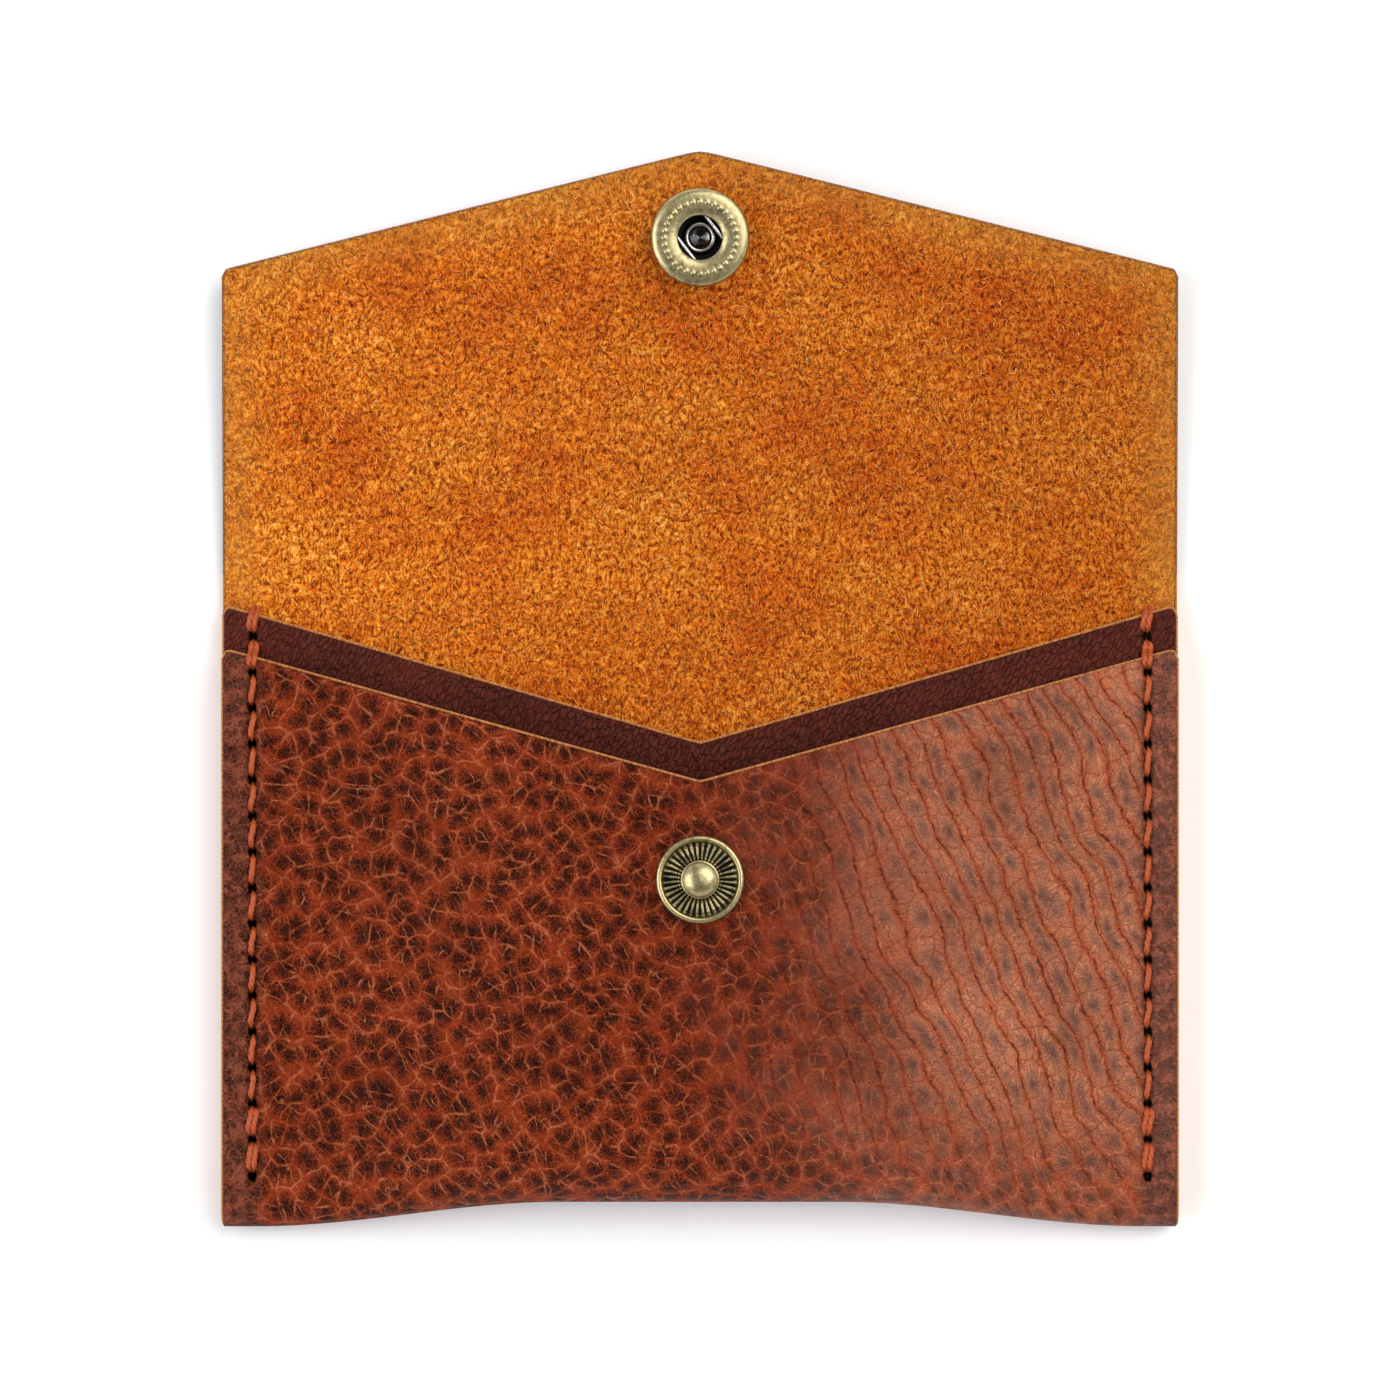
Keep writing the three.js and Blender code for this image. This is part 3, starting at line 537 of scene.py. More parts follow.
    left_relief = stretch(tree, left_crease, 0.0, 0.3)
    right_relief = sums(tree, "ADD", stretch(tree, fold, 0.0, 0.8, 0, 0.6),
                        stretch(tree, right_crease, 0.0, 0.25, 0, 0.3))
    far, relief, lines = (
        add_node(tree, "ShaderNodeMix", {0: right, 2: left, 3: on_right}, data_type="FLOAT").outputs[0]
        for left, on_right in ((left_far, right_far), (left_relief, right_relief), (left_lines, right_lines)))
    tree.links.new(stretch(tree, far, 0.1, 0.6, 0.42, 0.6, False), shader.inputs["Roughness"])
    tree.links.new(stretch(tree, right, 0, 1, 0.06, 0.2), shader.inputs["Specular IOR Level"])
    raised = sums(tree, "MULTIPLY", relief, stretch(tree, strip, 0, 1, 1, 0.35))
    grooved = sums(tree, "SUBTRACT", raised, sums(tree, "MULTIPLY", lines, 0.4))
    tree.links.new(bump(tree, grooved, 0.0005, 1.0), shader.inputs["Normal"])
    return material


# %% [markdown]
# The flesh side is the hide's inside, dyed ochre and left rough as a suede. Its nap is a tangle of
# fibres that catch the light on one side and shade each other on the other. Streaked noise at fibre
# width gives the shader's nap, and a layer of real fibres is added further down.

# %% Suede flesh side and cut edge


def suede():
    """Ochre-dyed flesh side with a short nap: matt, soft at grazing angles, blotchy where rubbed."""
    material, tree, shader = new_material("ochre_suede", Roughness=0.95, IOR=1.4, Sheen_Weight=0.15,
                                          Sheen_Roughness=0.5, Sheen_Tint=hex_linear("#E8B070"),
                                          Specular_IOR_Level=0.2)
    point = surface_point(tree)
    swirl = wobble(tree, point, 3.5, 1.2, 3)
    tufts = noise_value(tree, swirl, 0.75, 5, 0.78)
    fibres = noise_value(tree, add_node(tree, "ShaderNodeMapping", {"Vector": swirl},
                                        Scale=(1, 0.45, 1), Rotation=(0, 0, 0.7)).outputs[0], 0.28, 4, 0.7)
    blotches = noise_value(tree, point, 14, 4, 0.6)
    mixed = sums(tree, "ADD", sums(tree, "MULTIPLY", tufts, 0.5), sums(tree, "MULTIPLY", fibres, 0.5))
    nap = ramp(tree, stretch(tree, mixed, 0.43, 0.57, 0, 1, False),
               [(0.0, "#6E2601"), (0.33, "#D26A06"), (0.66, "#FA961C"), (1.0, "#FFC866")])
    shade = ramp(tree, blotches, [(0.32, "#E2AA74"), (0.5, "#F7E0B8"), (0.68, "#FFFFFF")])
    across = add_node(tree, "ShaderNodeSeparateXYZ", {"Vector": point}).outputs["X"]
    dye = ramp(tree, stretch(tree, across, -54, 54, 0, 1, False), [(0.0, "#FFFFFF"), (1.0, "#D8CFC4")])
    rubbed = mix_colours(tree, 1.0, mix_colours(tree, 1.0, nap, shade, "MULTIPLY"), dye, "MULTIPLY")
    rim = stretch(tree, sums(tree, "ADD", attribute(tree, "from_edge"), sums(tree, "MULTIPLY", mixed, 7)),
                  3.0, 10.0, 0.42, 0)
    ragged = sums(tree, "ADD", attribute(tree, "from_edge"), stretch(tree, fibres, 0.35, 0.65, -0.15, 0.15))
    outline = stretch(tree, ragged, 0.12, 0.34, 0.75, 0)
    pale = mix_colours(tree, rim, rubbed, hex_linear("#C8943F"))
    tree.links.new(mix_colours(tree, outline, pale, hex_linear("#4A2410")), shader.inputs["Base Color"])
    tree.links.new(bump(tree, mixed, 0.0007, 1.0), shader.inputs["Normal"])
    return material


def cut_edge():
    """The cut through the hide: pale raw fibres, darker where the dye of the grain face reaches in."""
    material, tree, shader = new_material("raw_cut_edge", Roughness=0.85, IOR=1.45)
    grit = noise_value(tree, surface_point(tree), 0.3, 4, 0.7)
    depth = sums(tree, "ADD", attribute(tree, "depth"), stretch(tree, grit, 0.3, 0.7, -0.12, 0.12))
    pale = ramp(tree, depth, [(0.0, "#7A3E1C"), (0.2, "#B97F42"), (0.8, "#B0763A"), (1.0, "#A0682C")])
    dark = ramp(tree, depth, [(0.0, "#2E130C"), (0.55, "#4A2412"), (0.82, "#5A3018"), (1.0, "#A06428")])
    flap = stretch(tree, attribute(tree, "flap_share"), 0.4, 0.6)
    tree.links.new(mix_colours(tree, flap, pale, dark), shader.inputs["Base Color"])
    tree.links.new(bump(tree, grit, 0.00012, 0.8), shader.inputs["Normal"])
    return material


GRAIN, SUEDE, CUT_EDGE = grain_leather(), suede(), cut_edge()

# %% [markdown]
# Now the blank itself is put together. The seams are pressed in and the stitch holes sunk along the
# grid's own normals, so they follow the bulge. A displacement texture could do that, but numbers on
# the grid stay exact. In the crease the pattern is packed closer, because the leather there is drawn
# out when the flap closes.

# %% Build the leather blank
x_columns = columns_across()
grain = blank_face(x_columns, 0.0)
flesh = blank_face(x_columns, LEATHER)
grid_x, grid_y = grain[..., 0], grain[..., 1]
row_numbers = np.arange(grain.shape[0])[:, None] + 0 * grid_x
on_front = row_numbers < FRONT_ROWS
on_flap = grid_y > BACK_HEIGHT
normals = outward_normals(grain)
hide_height = height_on_hide(grain)
drawn_out = smoothstep(grid_y, CREASE_START, CREASE_START + 1.5) * (
    1 - smoothstep(grid_y, CREASE_END - 1.5, CREASE_END))
grain_height = height_on_hide(grain, 1 + 2.8 * (drawn_out * ~on_front)[1:])
normals *= np.sign(normals[0, len(x_columns) // 2, 2])
seam_run = smoothstep(grid_y, HOLES[-1] - 2.2, HOLES[-1] - 0.9) * (
    1 - smoothstep(grid_y, HOLES[0] + 0.8, HOLES[0] + 1.8))
sewn = seam_run * ~on_flap
pits = hole_pits(grid_x, grid_y) * sewn
calm = 1 - np.exp(-((np.hypot(grid_x, grid_y - STUD_Y) / 8) ** 4))
waves = slow_waves(grid_x, grid_y, 5) * 0.28 * calm * bulge_share(grid_x) * on_front
press = seam_valley(grid_x) * sewn * np.where(on_front, 0.42, 0.55) + pits * np.where(on_front, 1.0, 0.5)
grain = grain + normals * (waves - press)[..., None]
flesh = flesh + normals * waves[..., None]

flap_from_edge = np.minimum(HALF_WIDTH - np.abs(grid_x), BACK_HEIGHT + flap_edge(grid_x) - grid_y)
dark_edge = (grid_y > CREASE_START + 1.5) * ~on_front * 1.0
blank = closed_sheet("leather_blank", grain, flesh, (grain_height, hide_height), 0.25,
                     [GRAIN, SUEDE, CUT_EDGE], hole=pits, from_edge=np.clip(flap_from_edge, 0, 30),
                     flap_share=dark_edge)
blank.data.transform(Matrix.Translation((0, FOLD_Y * MM, 0)))
print("leather blank:", len(blank.data.polygons), "faces")

# %% [markdown]
# The divider is a second, thinner piece of leather between the two panels. It is a smooth aniline
# hide, so it shows its natural hair-cell grain instead of pebbles: fine, shallow and slightly drawn
# out in one direction.

# %% Smooth divider leather


def smooth_leather():
    """Chocolate aniline-dyed calf: satin, with fine directional creases about half a millimetre apart."""
    material, tree, shader = new_material("chocolate_calf", IOR=1.5, Specular_IOR_Level=0.08)
    point = wobble(tree, surface_point(tree, turn=0.5), 2.2, 0.35, 3)
    drawn = add_node(tree, "ShaderNodeMapping", {"Vector": point}, Scale=(1, 0.42, 1)).outputs[0]
    lines = creases(tree, drawn, 0.55, 0.16)
    soft = noise_value(tree, drawn, 0.5, 4, 0.6)
    patches = noise_value(tree, point, 9, 3)
    body = ramp(tree, patches, [(0.3, "#2C0D08"), (0.55, "#40150D"), (0.75, "#562015")])
    streaks = stretch(tree, noise_value(tree, drawn, 0.35, 4, 0.7), 0.4, 0.62)
    # The lighter streaks are partly the calf's own streaky tone and partly painted highlights on its fine
    # wrinkles.
    tone_and_highlight_streaks = mix_colours(tree, sums(tree, "MULTIPLY", streaks, 0.6), body, hex_linear("#6A3020"))
    lined = mix_colours(tree, sums(tree, "MULTIPLY", lines, 0.6), tone_and_highlight_streaks, hex_linear("#1C0B07"))
    # Painted shade: the stitch holes are coloured near black, for the shadow inside them.
    dark = stretch(tree, attribute(tree, "hole"), 0.05, 0.5)
    tree.links.new(mix_colours(tree, dark, lined, hex_linear("#0B0403")), shader.inputs["Base Color"])
    tree.links.new(stretch(tree, soft, 0.3, 0.7, 0.38, 0.56, False), shader.inputs["Roughness"])
    relief = sums(tree, "SUBTRACT", soft, sums(tree, "MULTIPLY", lines, 0.8))
    tree.links.new(bump(tree, relief, 0.00014, 0.8), shader.inputs["Normal"])
    return material


CALF = smooth_leather()

# %% [markdown]
# The divider is cut a little higher than the front panel, so its edge shows as a dark stripe. It
# bulges less than the front, which leaves room for cards between them, and it ends just above the
# bottom fold, where its foot clears the curved inside of the blank. Two plain grids and the same
# edge wall as the blank's are enough for it.

# %% Build the divider
inside = float(fold_radius(np.array(0.0))) - LEATHER
below = float(fold_radius(np.array(0.0))) - (LEATHER + LAYER_GAP + DIVIDER_LIFT)
divider_foot = float(fold_centre(np.array(0.0))) - np.sqrt(inside**2 - below**2)
divider_foot += DIVIDER_FOOT_CLEARANCE


def divider_face(x, drop):
    """Grid of one face, drop millimetres under the upper one: rows run from the V cut to the foot."""
    x = x[None, :]
    edge = notched_edge(x, DIVIDER_NOTCH_Y, DIVIDER_NOTCH_RISE)
    share = np.concatenate([np.linspace(0, 0.2, 26)[:-1], np.linspace(0.2, 1, 40)])[:, None]
    y = edge + (divider_foot - edge) * share
    z = DIVIDER_TOP + DIVIDER_LIFT * bulge_share(x) - drop + 0 * y
    return np.stack([x + 0 * y, y, z], axis=-1)


upper, lower = divider_face(x_columns, 0.0), divider_face(x_columns, DIVIDER_LEATHER)
shown_seam = smoothstep(upper[..., 1], FRONT_SEAM_EDGE - 1.5, FRONT_SEAM_EDGE)
divider_pits = hole_pits(upper[..., 0], upper[..., 1]) * shown_seam
divider_height = height_on_hide(upper)
upper[..., 2] -= seam_valley(upper[..., 0]) * shown_seam * 0.42 + divider_pits * 0.6
divider = closed_sheet("divider_leather", upper, lower, (divider_height, divider_height), 0.26,
                       [CALF, SUEDE, CUT_EDGE], hole=divider_pits, from_edge=np.full(upper.shape[:2], 30.0),
                       flap_share=np.zeros(upper.shape[:2]))
divider.data.transform(Matrix.Translation((0, FOLD_Y * MM, 0)))
print("divider:", len(divider.data.polygons), "faces, foot at", round(divider_foot, 2), "mm")

# %% [markdown]
# Lockstitching uses two waxed polyester threads. Each is three plies twisted together, which gives
# the slanting highlights. The needle thread dives into every hole and comes up again, so its height
# along the seam is a level minus a sharp dip at each hole. The first and last two stitches are sewn
# twice to lock the seam, and show two strands side by side.

# %% Twisted thread


def tube(centre, radius, sides, lobes=0, ply_pitch=1.0, depth=0.0):
    """Points and faces of a tube along centre (n x 3). With lobes, its radius dips between the plies
    as |sin| of half the ply angle, and that angle turns once in ply_pitch millimetres."""
    tangent = np.gradient(centre, axis=0)
    tangent /= np.linalg.norm(tangent, axis=1, keepdims=True)
    side = np.cross(tangent, [0.0, 0.0, 1.0])
    sideways = np.linalg.norm(side, axis=1, keepdims=True)
    side = np.where(sideways > 0.05, side / np.maximum(sideways, 1e-6), [1.0, 0.0, 0.0])
    side = np.where(side[:, :1] < 0, -side, side) if lobes else side
    up = np.cross(side, tangent)
    travel = np.concatenate([[0], np.cumsum(np.linalg.norm(np.diff(centre, axis=0), axis=1))])
    angle = np.linspace(0, 2 * np.pi, sides, endpoint=False)[None, :]
    groove = np.abs(np.sin(lobes / 2 * (angle - 2 * np.pi * travel[:, None] / ply_pitch))) if lobes else 0
    reach = radius * (1 - depth * (1 - groove)) * np.ones((len(centre), sides))
    rings = (centre[:, None, :] + side[:, None, :] * (reach * np.cos(angle))[..., None]
             + up[:, None, :] * (reach * np.sin(angle))[..., None])
    index = np.arange(rings.shape[0] * sides).reshape(-1, sides)
    following = np.roll(index, -1, axis=1)
    quads = np.stack([index[:-1], following[:-1], following[1:], index[1:]], axis=-1).reshape(-1, 4)
    ends = [np.stack([np.full(sides - 2, ring[0]), ring[1:-1], ring[2:], ring[2:]], axis=1)
            for ring in (index[0], index[-1])]
    along = np.repeat(travel[:, None], sides, axis=1).ravel()
    round_uv = np.stack([np.tile(angle[0] * radius, len(centre)), along], axis=1)
    return rings.reshape(-1, 3), quads, ends, round_uv


def joined(shapes):
    """Several tubes as one set of points, quads and end triangles."""
    points, quads, triangles, uvs, offset = [], [], [], [], 0
    for shape_points, shape_quads, ends, uv in shapes:
        points.append(shape_points)
        quads.append(shape_quads + offset)
        triangles.extend(end[:, :3] + offset for end in ends)
        uvs.append(uv)
        offset += len(shape_points)
    return np.concatenate(points), np.concatenate(quads), np.concatenate(triangles), np.concatenate(uvs)


def tube_piece(name, shapes, material):
    """A mesh piece from tubes, with its end caps."""
    points, quads, triangles, uv = joined(shapes)
    mesh = bpy.data.meshes.new(name)
    mesh.from_pydata((points * MM).tolist(), [], quads.tolist() + triangles.tolist())
    mesh.polygons.foreach_set("use_smooth", np.full(len(mesh.polygons), True))
    layer = mesh.uv_layers.new(name="surface")
    corners = np.zeros(len(mesh.loops), np.int32)
    mesh.loops.foreach_get("vertex_index", corners)
    layer.data.foreach_set("uv", (uv[corners] * MM).astype(np.float32).ravel())
    mesh.materials.append(material)
    piece = bpy.data.objects.new(name, mesh)
    bpy.context.collection.objects.link(piece)
    face_outwards(piece)
    return piece


def waxed_thread():
    """Rust-orange waxed polyester: three plies of fine filaments, with a soft shine along them."""
    material, tree, shader = new_material("waxed_polyester_thread", Roughness=0.55, IOR=1.5,
                                          Specular_IOR_Level=0.35)
    point = surface_point(tree)
    filaments = noise_value(tree, add_node(tree, "ShaderNodeMapping", {"Vector": point}, Scale=(1, 0.25, 1),
                                           Rotation=(0, 0, 0.9)).outputs[0], 0.09, 3, 0.6)
    colour = ramp(tree, filaments, [(0.3, "#66240C"), (0.5, "#A8481F"), (0.72, "#CC6C38")])
    tree.links.new(colour, shader.inputs["Base Color"])
    tree.links.new(bump(tree, filaments, 0.00005, 0.8), shader.inputs["Normal"])
    return material


def seam_level(y):
    """Height of the uppermost face along the seam: it steps down over each panel's edge."""
    over_front = 1 - smoothstep(y, FRONT_SEAM_EDGE - 0.5, FRONT_SEAM_EDGE + 0.7)
    over_divider = 1 - smoothstep(y, DIVIDER_SEAM_EDGE - 0.5, DIVIDER_SEAM_EDGE + 0.7)
    return LEATHER + (DIVIDER_TOP - LEATHER) * over_divider + (STACK - DIVIDER_TOP) * over_front


def stitch_dip(y):
    """1 at each hole and near 0 between them: a power of a cosine of the stitch pitch."""
    return np.abs(np.cos(np.pi * (HOLES[0] - y) / STITCH_PITCH)) ** 7


def seam_strand(x, first, last, face, shift=0.0):
    """Centre line of one strand from hole first to hole last, on the front or the back."""
    y = np.arange(HOLES[first], HOLES[last], -0.13)
    slant = 0.13 * np.sin(2 * np.pi * (HOLES[0] - y) / STITCH_PITCH) + 0.04 * np.sin(y * 2.1 + x)
    if face == "front":
        z = seam_level(y) - 0.06 - np.minimum(2.5, seam_level(y) - 0.7) * stitch_dip(y)
    else:
        z = 0.36 + 0.75 * stitch_dip(y)
    sway = shift * (1 - 0.55 * stitch_dip(y))
    return np.stack([x + sway + slant, y + FOLD_Y, z], axis=1)


THREAD_MATERIAL = waxed_thread()
threads = []
for side_name, side_sign in (("left", -1), ("right", 1)):
    for face, node in (("front", f"{side_name}_needle_thread"), ("back", f"{side_name}_bobbin_thread")):
        runs = [(0, 2, -0.3), (0, 2, 0.3), (2, 14, 0.0), (14, 16, -0.3), (14, 16, 0.3)]
        strands = [tube(seam_strand(side_sign * SEAM_X, a, b, face, shift), 0.36, 15, 3, 2.4, 0.3)
                   for a, b, shift in runs]
        thread = tube_piece(f"{side_name}_{face}_stitches", strands, THREAD_MATERIAL)
        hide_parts(node)
        threads.append(thread)
print("stitches:", [len(thread.data.polygons) for thread in threads])

# %% [markdown]
# The ring snap is stamped and turned from brass, then blackened and polished back, which leaves
# pale olive gold on the high places and a dark patina in the recesses. Every part is a profile spun
# about its axis, and the flutes of the stud and the beads of the ring are small waves added to
# the heights of that grid.

# %% Turned brass parts


def fine_profile(corners, closed, step=0.11):
    """Corners cut twice (each side keeps its quarter and three-quarter points), then resampled evenly."""
    line = np.array(corners, float)
    for _ in range(2):
        ahead = np.roll(line, -1, axis=0) if closed else line[1:]
        here = line if closed else line[:-1]
        cut = np.stack([here * 0.75 + ahead * 0.25, here * 0.25 + ahead * 0.75], axis=1).reshape(-1, 2)
        line = cut if closed else np.concatenate([line[:1], cut, line[-1:]])
    if closed:
        line = np.concatenate([line, line[:1]])
    travel = np.concatenate([[0], np.cumsum(np.linalg.norm(np.diff(line, axis=0), axis=1))])
    places = np.linspace(0, travel[-1], max(8, int(travel[-1] / step)))
    even = np.stack([np.interp(places, travel, line[:, i]) for i in (0, 1)], axis=1)
    return even[:-1] if closed else even


def turned_piece(name, corners, material, closed, place, segments=160, relief=None, recess=None, turn=0.0):
    """Spins a profile of (radius, height) about Z. relief and recess are functions of radius, height
    and angle, for raised detail in millimetres and for how deep the patina lies. place moves the
    points, and turn leans them about the crease first."""
    line = fine_profile(corners, closed)
    angle = np.linspace(0, 2 * np.pi, segments, endpoint=False)[None, :]
    radius, height = line[:, :1] + 0 * angle, line[:, 1:] + 0 * angle
    dark = recess(radius, height, angle) if recess else 0 * radius
    if relief:
        height = height + relief(radius, height, angle)
    points = np.stack([radius * np.cos(angle), radius * np.sin(angle), height], axis=-1).reshape(-1, 3)
    index = np.arange(len(line) * segments).reshape(-1, segments)
    if closed:
        index = np.concatenate([index, index[:1]])
    following = np.roll(index, -1, axis=1)
    quads = np.stack([index[:-1], following[:-1], following[1:], index[1:]], axis=-1).reshape(-1, 4)
    centre = np.array(place, float)
    lean = np.array([[1, 0, 0], [0, np.cos(turn), -np.sin(turn)], [0, np.sin(turn), np.cos(turn)]])
    hinge = np.array([0, BACK_HEIGHT + FOLD_Y, AXIS_HEIGHT]) if turn else np.zeros(3)
    points = (points + centre) @ lean.T + hinge
    around, along = np.tile(angle[0] * 3, len(line)), np.repeat(np.arange(len(line)) * 0.11, segments)
    uv = np.stack([around, along], axis=1)
    piece = mesh_piece(name, points, quads, [material], None, uv, recess=np.clip(dark, 0, 1).ravel())
    shape = bmesh.new()
    shape.from_mesh(piece.data)
    bmesh.ops.remove_doubles(shape, verts=shape.verts, dist=1e-7)
    bmesh.ops.dissolve_degenerate(shape, edges=shape.edges, dist=1e-8)
    bmesh.ops.recalc_face_normals(shape, faces=shape.faces)
    shape.to_mesh(piece.data)
    shape.free()
    return piece


def antique_brass(name="antique_brass", base="#82764F", bright="#B8AB80", dark="#1D1A14", roughness=0.3):
    """Blackened brass, polished back: satin gold with fine scratches, nearly black where it lies deep."""
    material, tree, shader = new_material(name, Metallic=1.0, Roughness=roughness)
    position = add_node(tree, "ShaderNodeTexCoord").outputs["Object"]
    in_mm = add_node(tree, "ShaderNodeMapping", {"Vector": position}, Scale=(1000, 1000, 1000)).outputs[0]
    mottle = noise_value(tree, in_mm, 1.1, 5, 0.65)
    grit = noise_value(tree, in_mm, 0.12, 3, 0.6)
    metal = ramp(tree, mottle, [(0.3, base), (0.5, bright), (0.68, base)])
    ragged = stretch(tree, mottle, 0.3, 0.7, -0.15, 0.15)
    deep = stretch(tree, sums(tree, "ADD", attribute(tree, "recess"), ragged), 0.25, 0.8)
    tree.links.new(mix_colours(tree, deep, metal, hex_linear(dark)), shader.inputs["Base Color"])
    rough = sums(tree, "ADD", stretch(tree, grit, 0.3, 0.7, roughness - 0.06, roughness + 0.12, False),
                 sums(tree, "MULTIPLY", deep, 0.2))
    tree.links.new(rough, shader.inputs["Roughness"])
    tree.links.new(bump(tree, grit, 0.00001, 0.5), shader.inputs["Normal"])
    return material


BRASS = antique_brass()
STEEL = antique_brass("spring_steel", "#8F8D88", "#C9C8C4", "#17161A", 0.22)

# %% [markdown]
# The stud is the male half: a flange with a ribbed floor and a mushroom head for the spring to grip.
# The ribs could be separate small boxes, but on the real one they are pressed into the same sheet, so
# here they are a wave added to the floor's height. An eyelet rivets the stud from inside the pocket.

# %% Stud on the front panel
FLUTES, BEADS = 36, 32


def flutes(radius, height, angle):
    """Radial ribs on the recessed floor: a rectified sine round the ring, faded out at both sides."""
    window = smoothstep(radius, 2.45, 2.7) * (1 - smoothstep(radius, 3.75, 4.0)) * (height < 0.75)
    return 0.2 * np.abs(np.sin(FLUTES / 2 * angle)) * window


def flute_patina(radius, height, angle):
    """Dark floor and flanks, with the crests of the ribs a little brighter."""
    ring_floor = smoothstep(radius, 1.75, 2.0) * (1 - smoothstep(radius, 4.0, 4.25))
    ring_floor = ring_floor * (height < 0.95) * (height > 0.2)
    return ring_floor * (1 - 0.62 * np.abs(np.sin(FLUTES / 2 * angle)) ** 2)


stud_place = (0, STUD_Y + FOLD_Y, FRONT_TOP + SEAT_GAP)
eyelet_place = (0, STUD_Y + FOLD_Y, FRONT_TOP - LEATHER - SEAT_GAP)
stud_profile = [(0, 0), (4.75, 0), (4.95, 0.25), (4.95, 0.8), (4.8, 1.08), (4.5, 1.14), (4.25, 1.0),
                (4.15, 0.62), (4.0, 0.48), (2.5, 0.48), (2.3, 0.62), (2.2, 0.9), (2.0, 1.05), (1.72, 1.1),
                (1.7, 2.3),
                (1.95, 2.4), (2.02, 2.6), (1.95, 2.86), (1.5, 3.26), (0.9, 3.5), (0, 3.58)]
stud = turned_piece("stud_cap", stud_profile, BRASS, False, stud_place, 320, flutes, flute_patina)
eyelet_profile = [(0.75, -0.5), (4.4, -0.5), (4.7, -0.3), (4.7, -0.02), (1.15, 0), (1.15, 4.1), (0.75, 4.1)]
eyelet = turned_piece("stud_eyelet_flange", eyelet_profile, BRASS, True, eyelet_place, 96)
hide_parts("snap_stud")
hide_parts("stud_eyelet")

# %% [markdown]
# The female half is four parts round one hollow post: a stamped ring, a washer, a bent spring wire
# whose two bars cross the bore, and a domed cap on the outside of the flap. The post comes up from
# the cap and is rolled over inside the ring. All of them lean with the flap, so each is spun first
# and then turned about the crease.

# %% Socket, spring and cap on the flap
flesh_plane = LEATHER - AXIS_HEIGHT


def beads(radius, height, angle):
    """A plain ring of small round beads where a snap is often stamped: bell-shaped bumps on one circle."""
    pitch = 2 * np.pi / BEADS
    offset = (np.mod(angle + pitch / 2, pitch) - pitch / 2) * radius
    return 0.1 * np.exp(-((offset / 0.2) ** 2) - ((radius - 4.05) / 0.2) ** 2) * (height > 3)


def bead_patina(radius, height, angle):
    """Patina in the bore, down the wall, and as a faint halo between the beads."""
    pitch = 2 * np.pi / BEADS
    offset = (np.mod(angle + pitch / 2, pitch) - pitch / 2) * radius
    distance = np.hypot(offset, radius - 4.05)
    halo = 0.42 * np.exp(-(((distance - 0.34) / 0.13) ** 2)) * (height > 2.9)
    return np.maximum(halo, np.maximum((height < 2.75) * (radius < 5.2) * 1.0, (radius < 2.5) * 0.45))


snap_place = (0, SNAP_REACH, flesh_plane + SEAT_GAP)
ring_profile = [(5.1, 0), (5.6, 0), (5.6, 2.35), (5.5, 2.8), (5.2, 3.08), (4.6, 3.2), (3.6, 3.22),
                (3.0, 3.14), (2.62, 2.98), (2.45, 2.8), (2.5, 2.68), (2.9, 2.7), (5.1, 2.7)]
ring = turned_piece("socket_ring_face", ring_profile, BRASS, True, snap_place, 352, beads, bead_patina,
                    turn=LEAN)
plate_profile = [(1.7, 0), (5.0, 0), (5.0, 0.45), (1.7, 0.45)]
plate = turned_piece("socket_floor", plate_profile, STEEL, True, snap_place, 96,
                     recess=lambda radius, height, angle: 0 * radius + 1, turn=LEAN)
cap_profile = [(0, 1.6), (1.6, 1.75), (3.5, 1.5), (5.8, 0.5), (5.8, 0), (6.25, 0), (6.25, 0.5), (6.1, 0.78),
               (5.8, 0.95), (4.7, 1.42), (3.2, 1.9), (1.6, 2.2), (0, 2.3)]
post_profile = [(1.25, 1.5), (1.25, -2.75), (1.4, -2.86), (1.7, -2.84), (1.95, -2.62), (1.9, -2.48),
                (1.6, -2.45), (1.6, 1.7)]
cap_profile, post_profile = ([(radius, -height) for radius, height in profile]
                             for profile in (cap_profile, post_profile))


def bore_patina(radius, height, angle):
    """Only the inside of the post is dark; its riveted end stays bright."""
    return (radius < 1.35) * (height < 2.6) * 0.9


def bore_floor_patina(radius, height, angle):
    """The bottom of the post's bore, half dark all over with two lighter streaks across it."""
    return 0 * radius + 0.3 + 0.5 * np.abs(np.sin(angle))


cap_place = (0, SNAP_REACH, flesh_plane - LEATHER - SEAT_GAP)
cap = turned_piece("flap_cap", cap_profile, BRASS, False, cap_place, 160, turn=LEAN)
post = turned_piece("rivet_post", post_profile, STEEL, True, cap_place, 96, recess=bore_patina, turn=LEAN)
bore_profile = [(0, 0.05), (1.2, 0.05), (1.2, 0.25), (0, 0.25)]
bore = turned_piece("post_bore", bore_profile, STEEL, False, snap_place, 64, recess=bore_floor_patina,
                    turn=LEAN)
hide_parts("socket_ring")
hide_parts("socket_plate")
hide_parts("snap_cap")

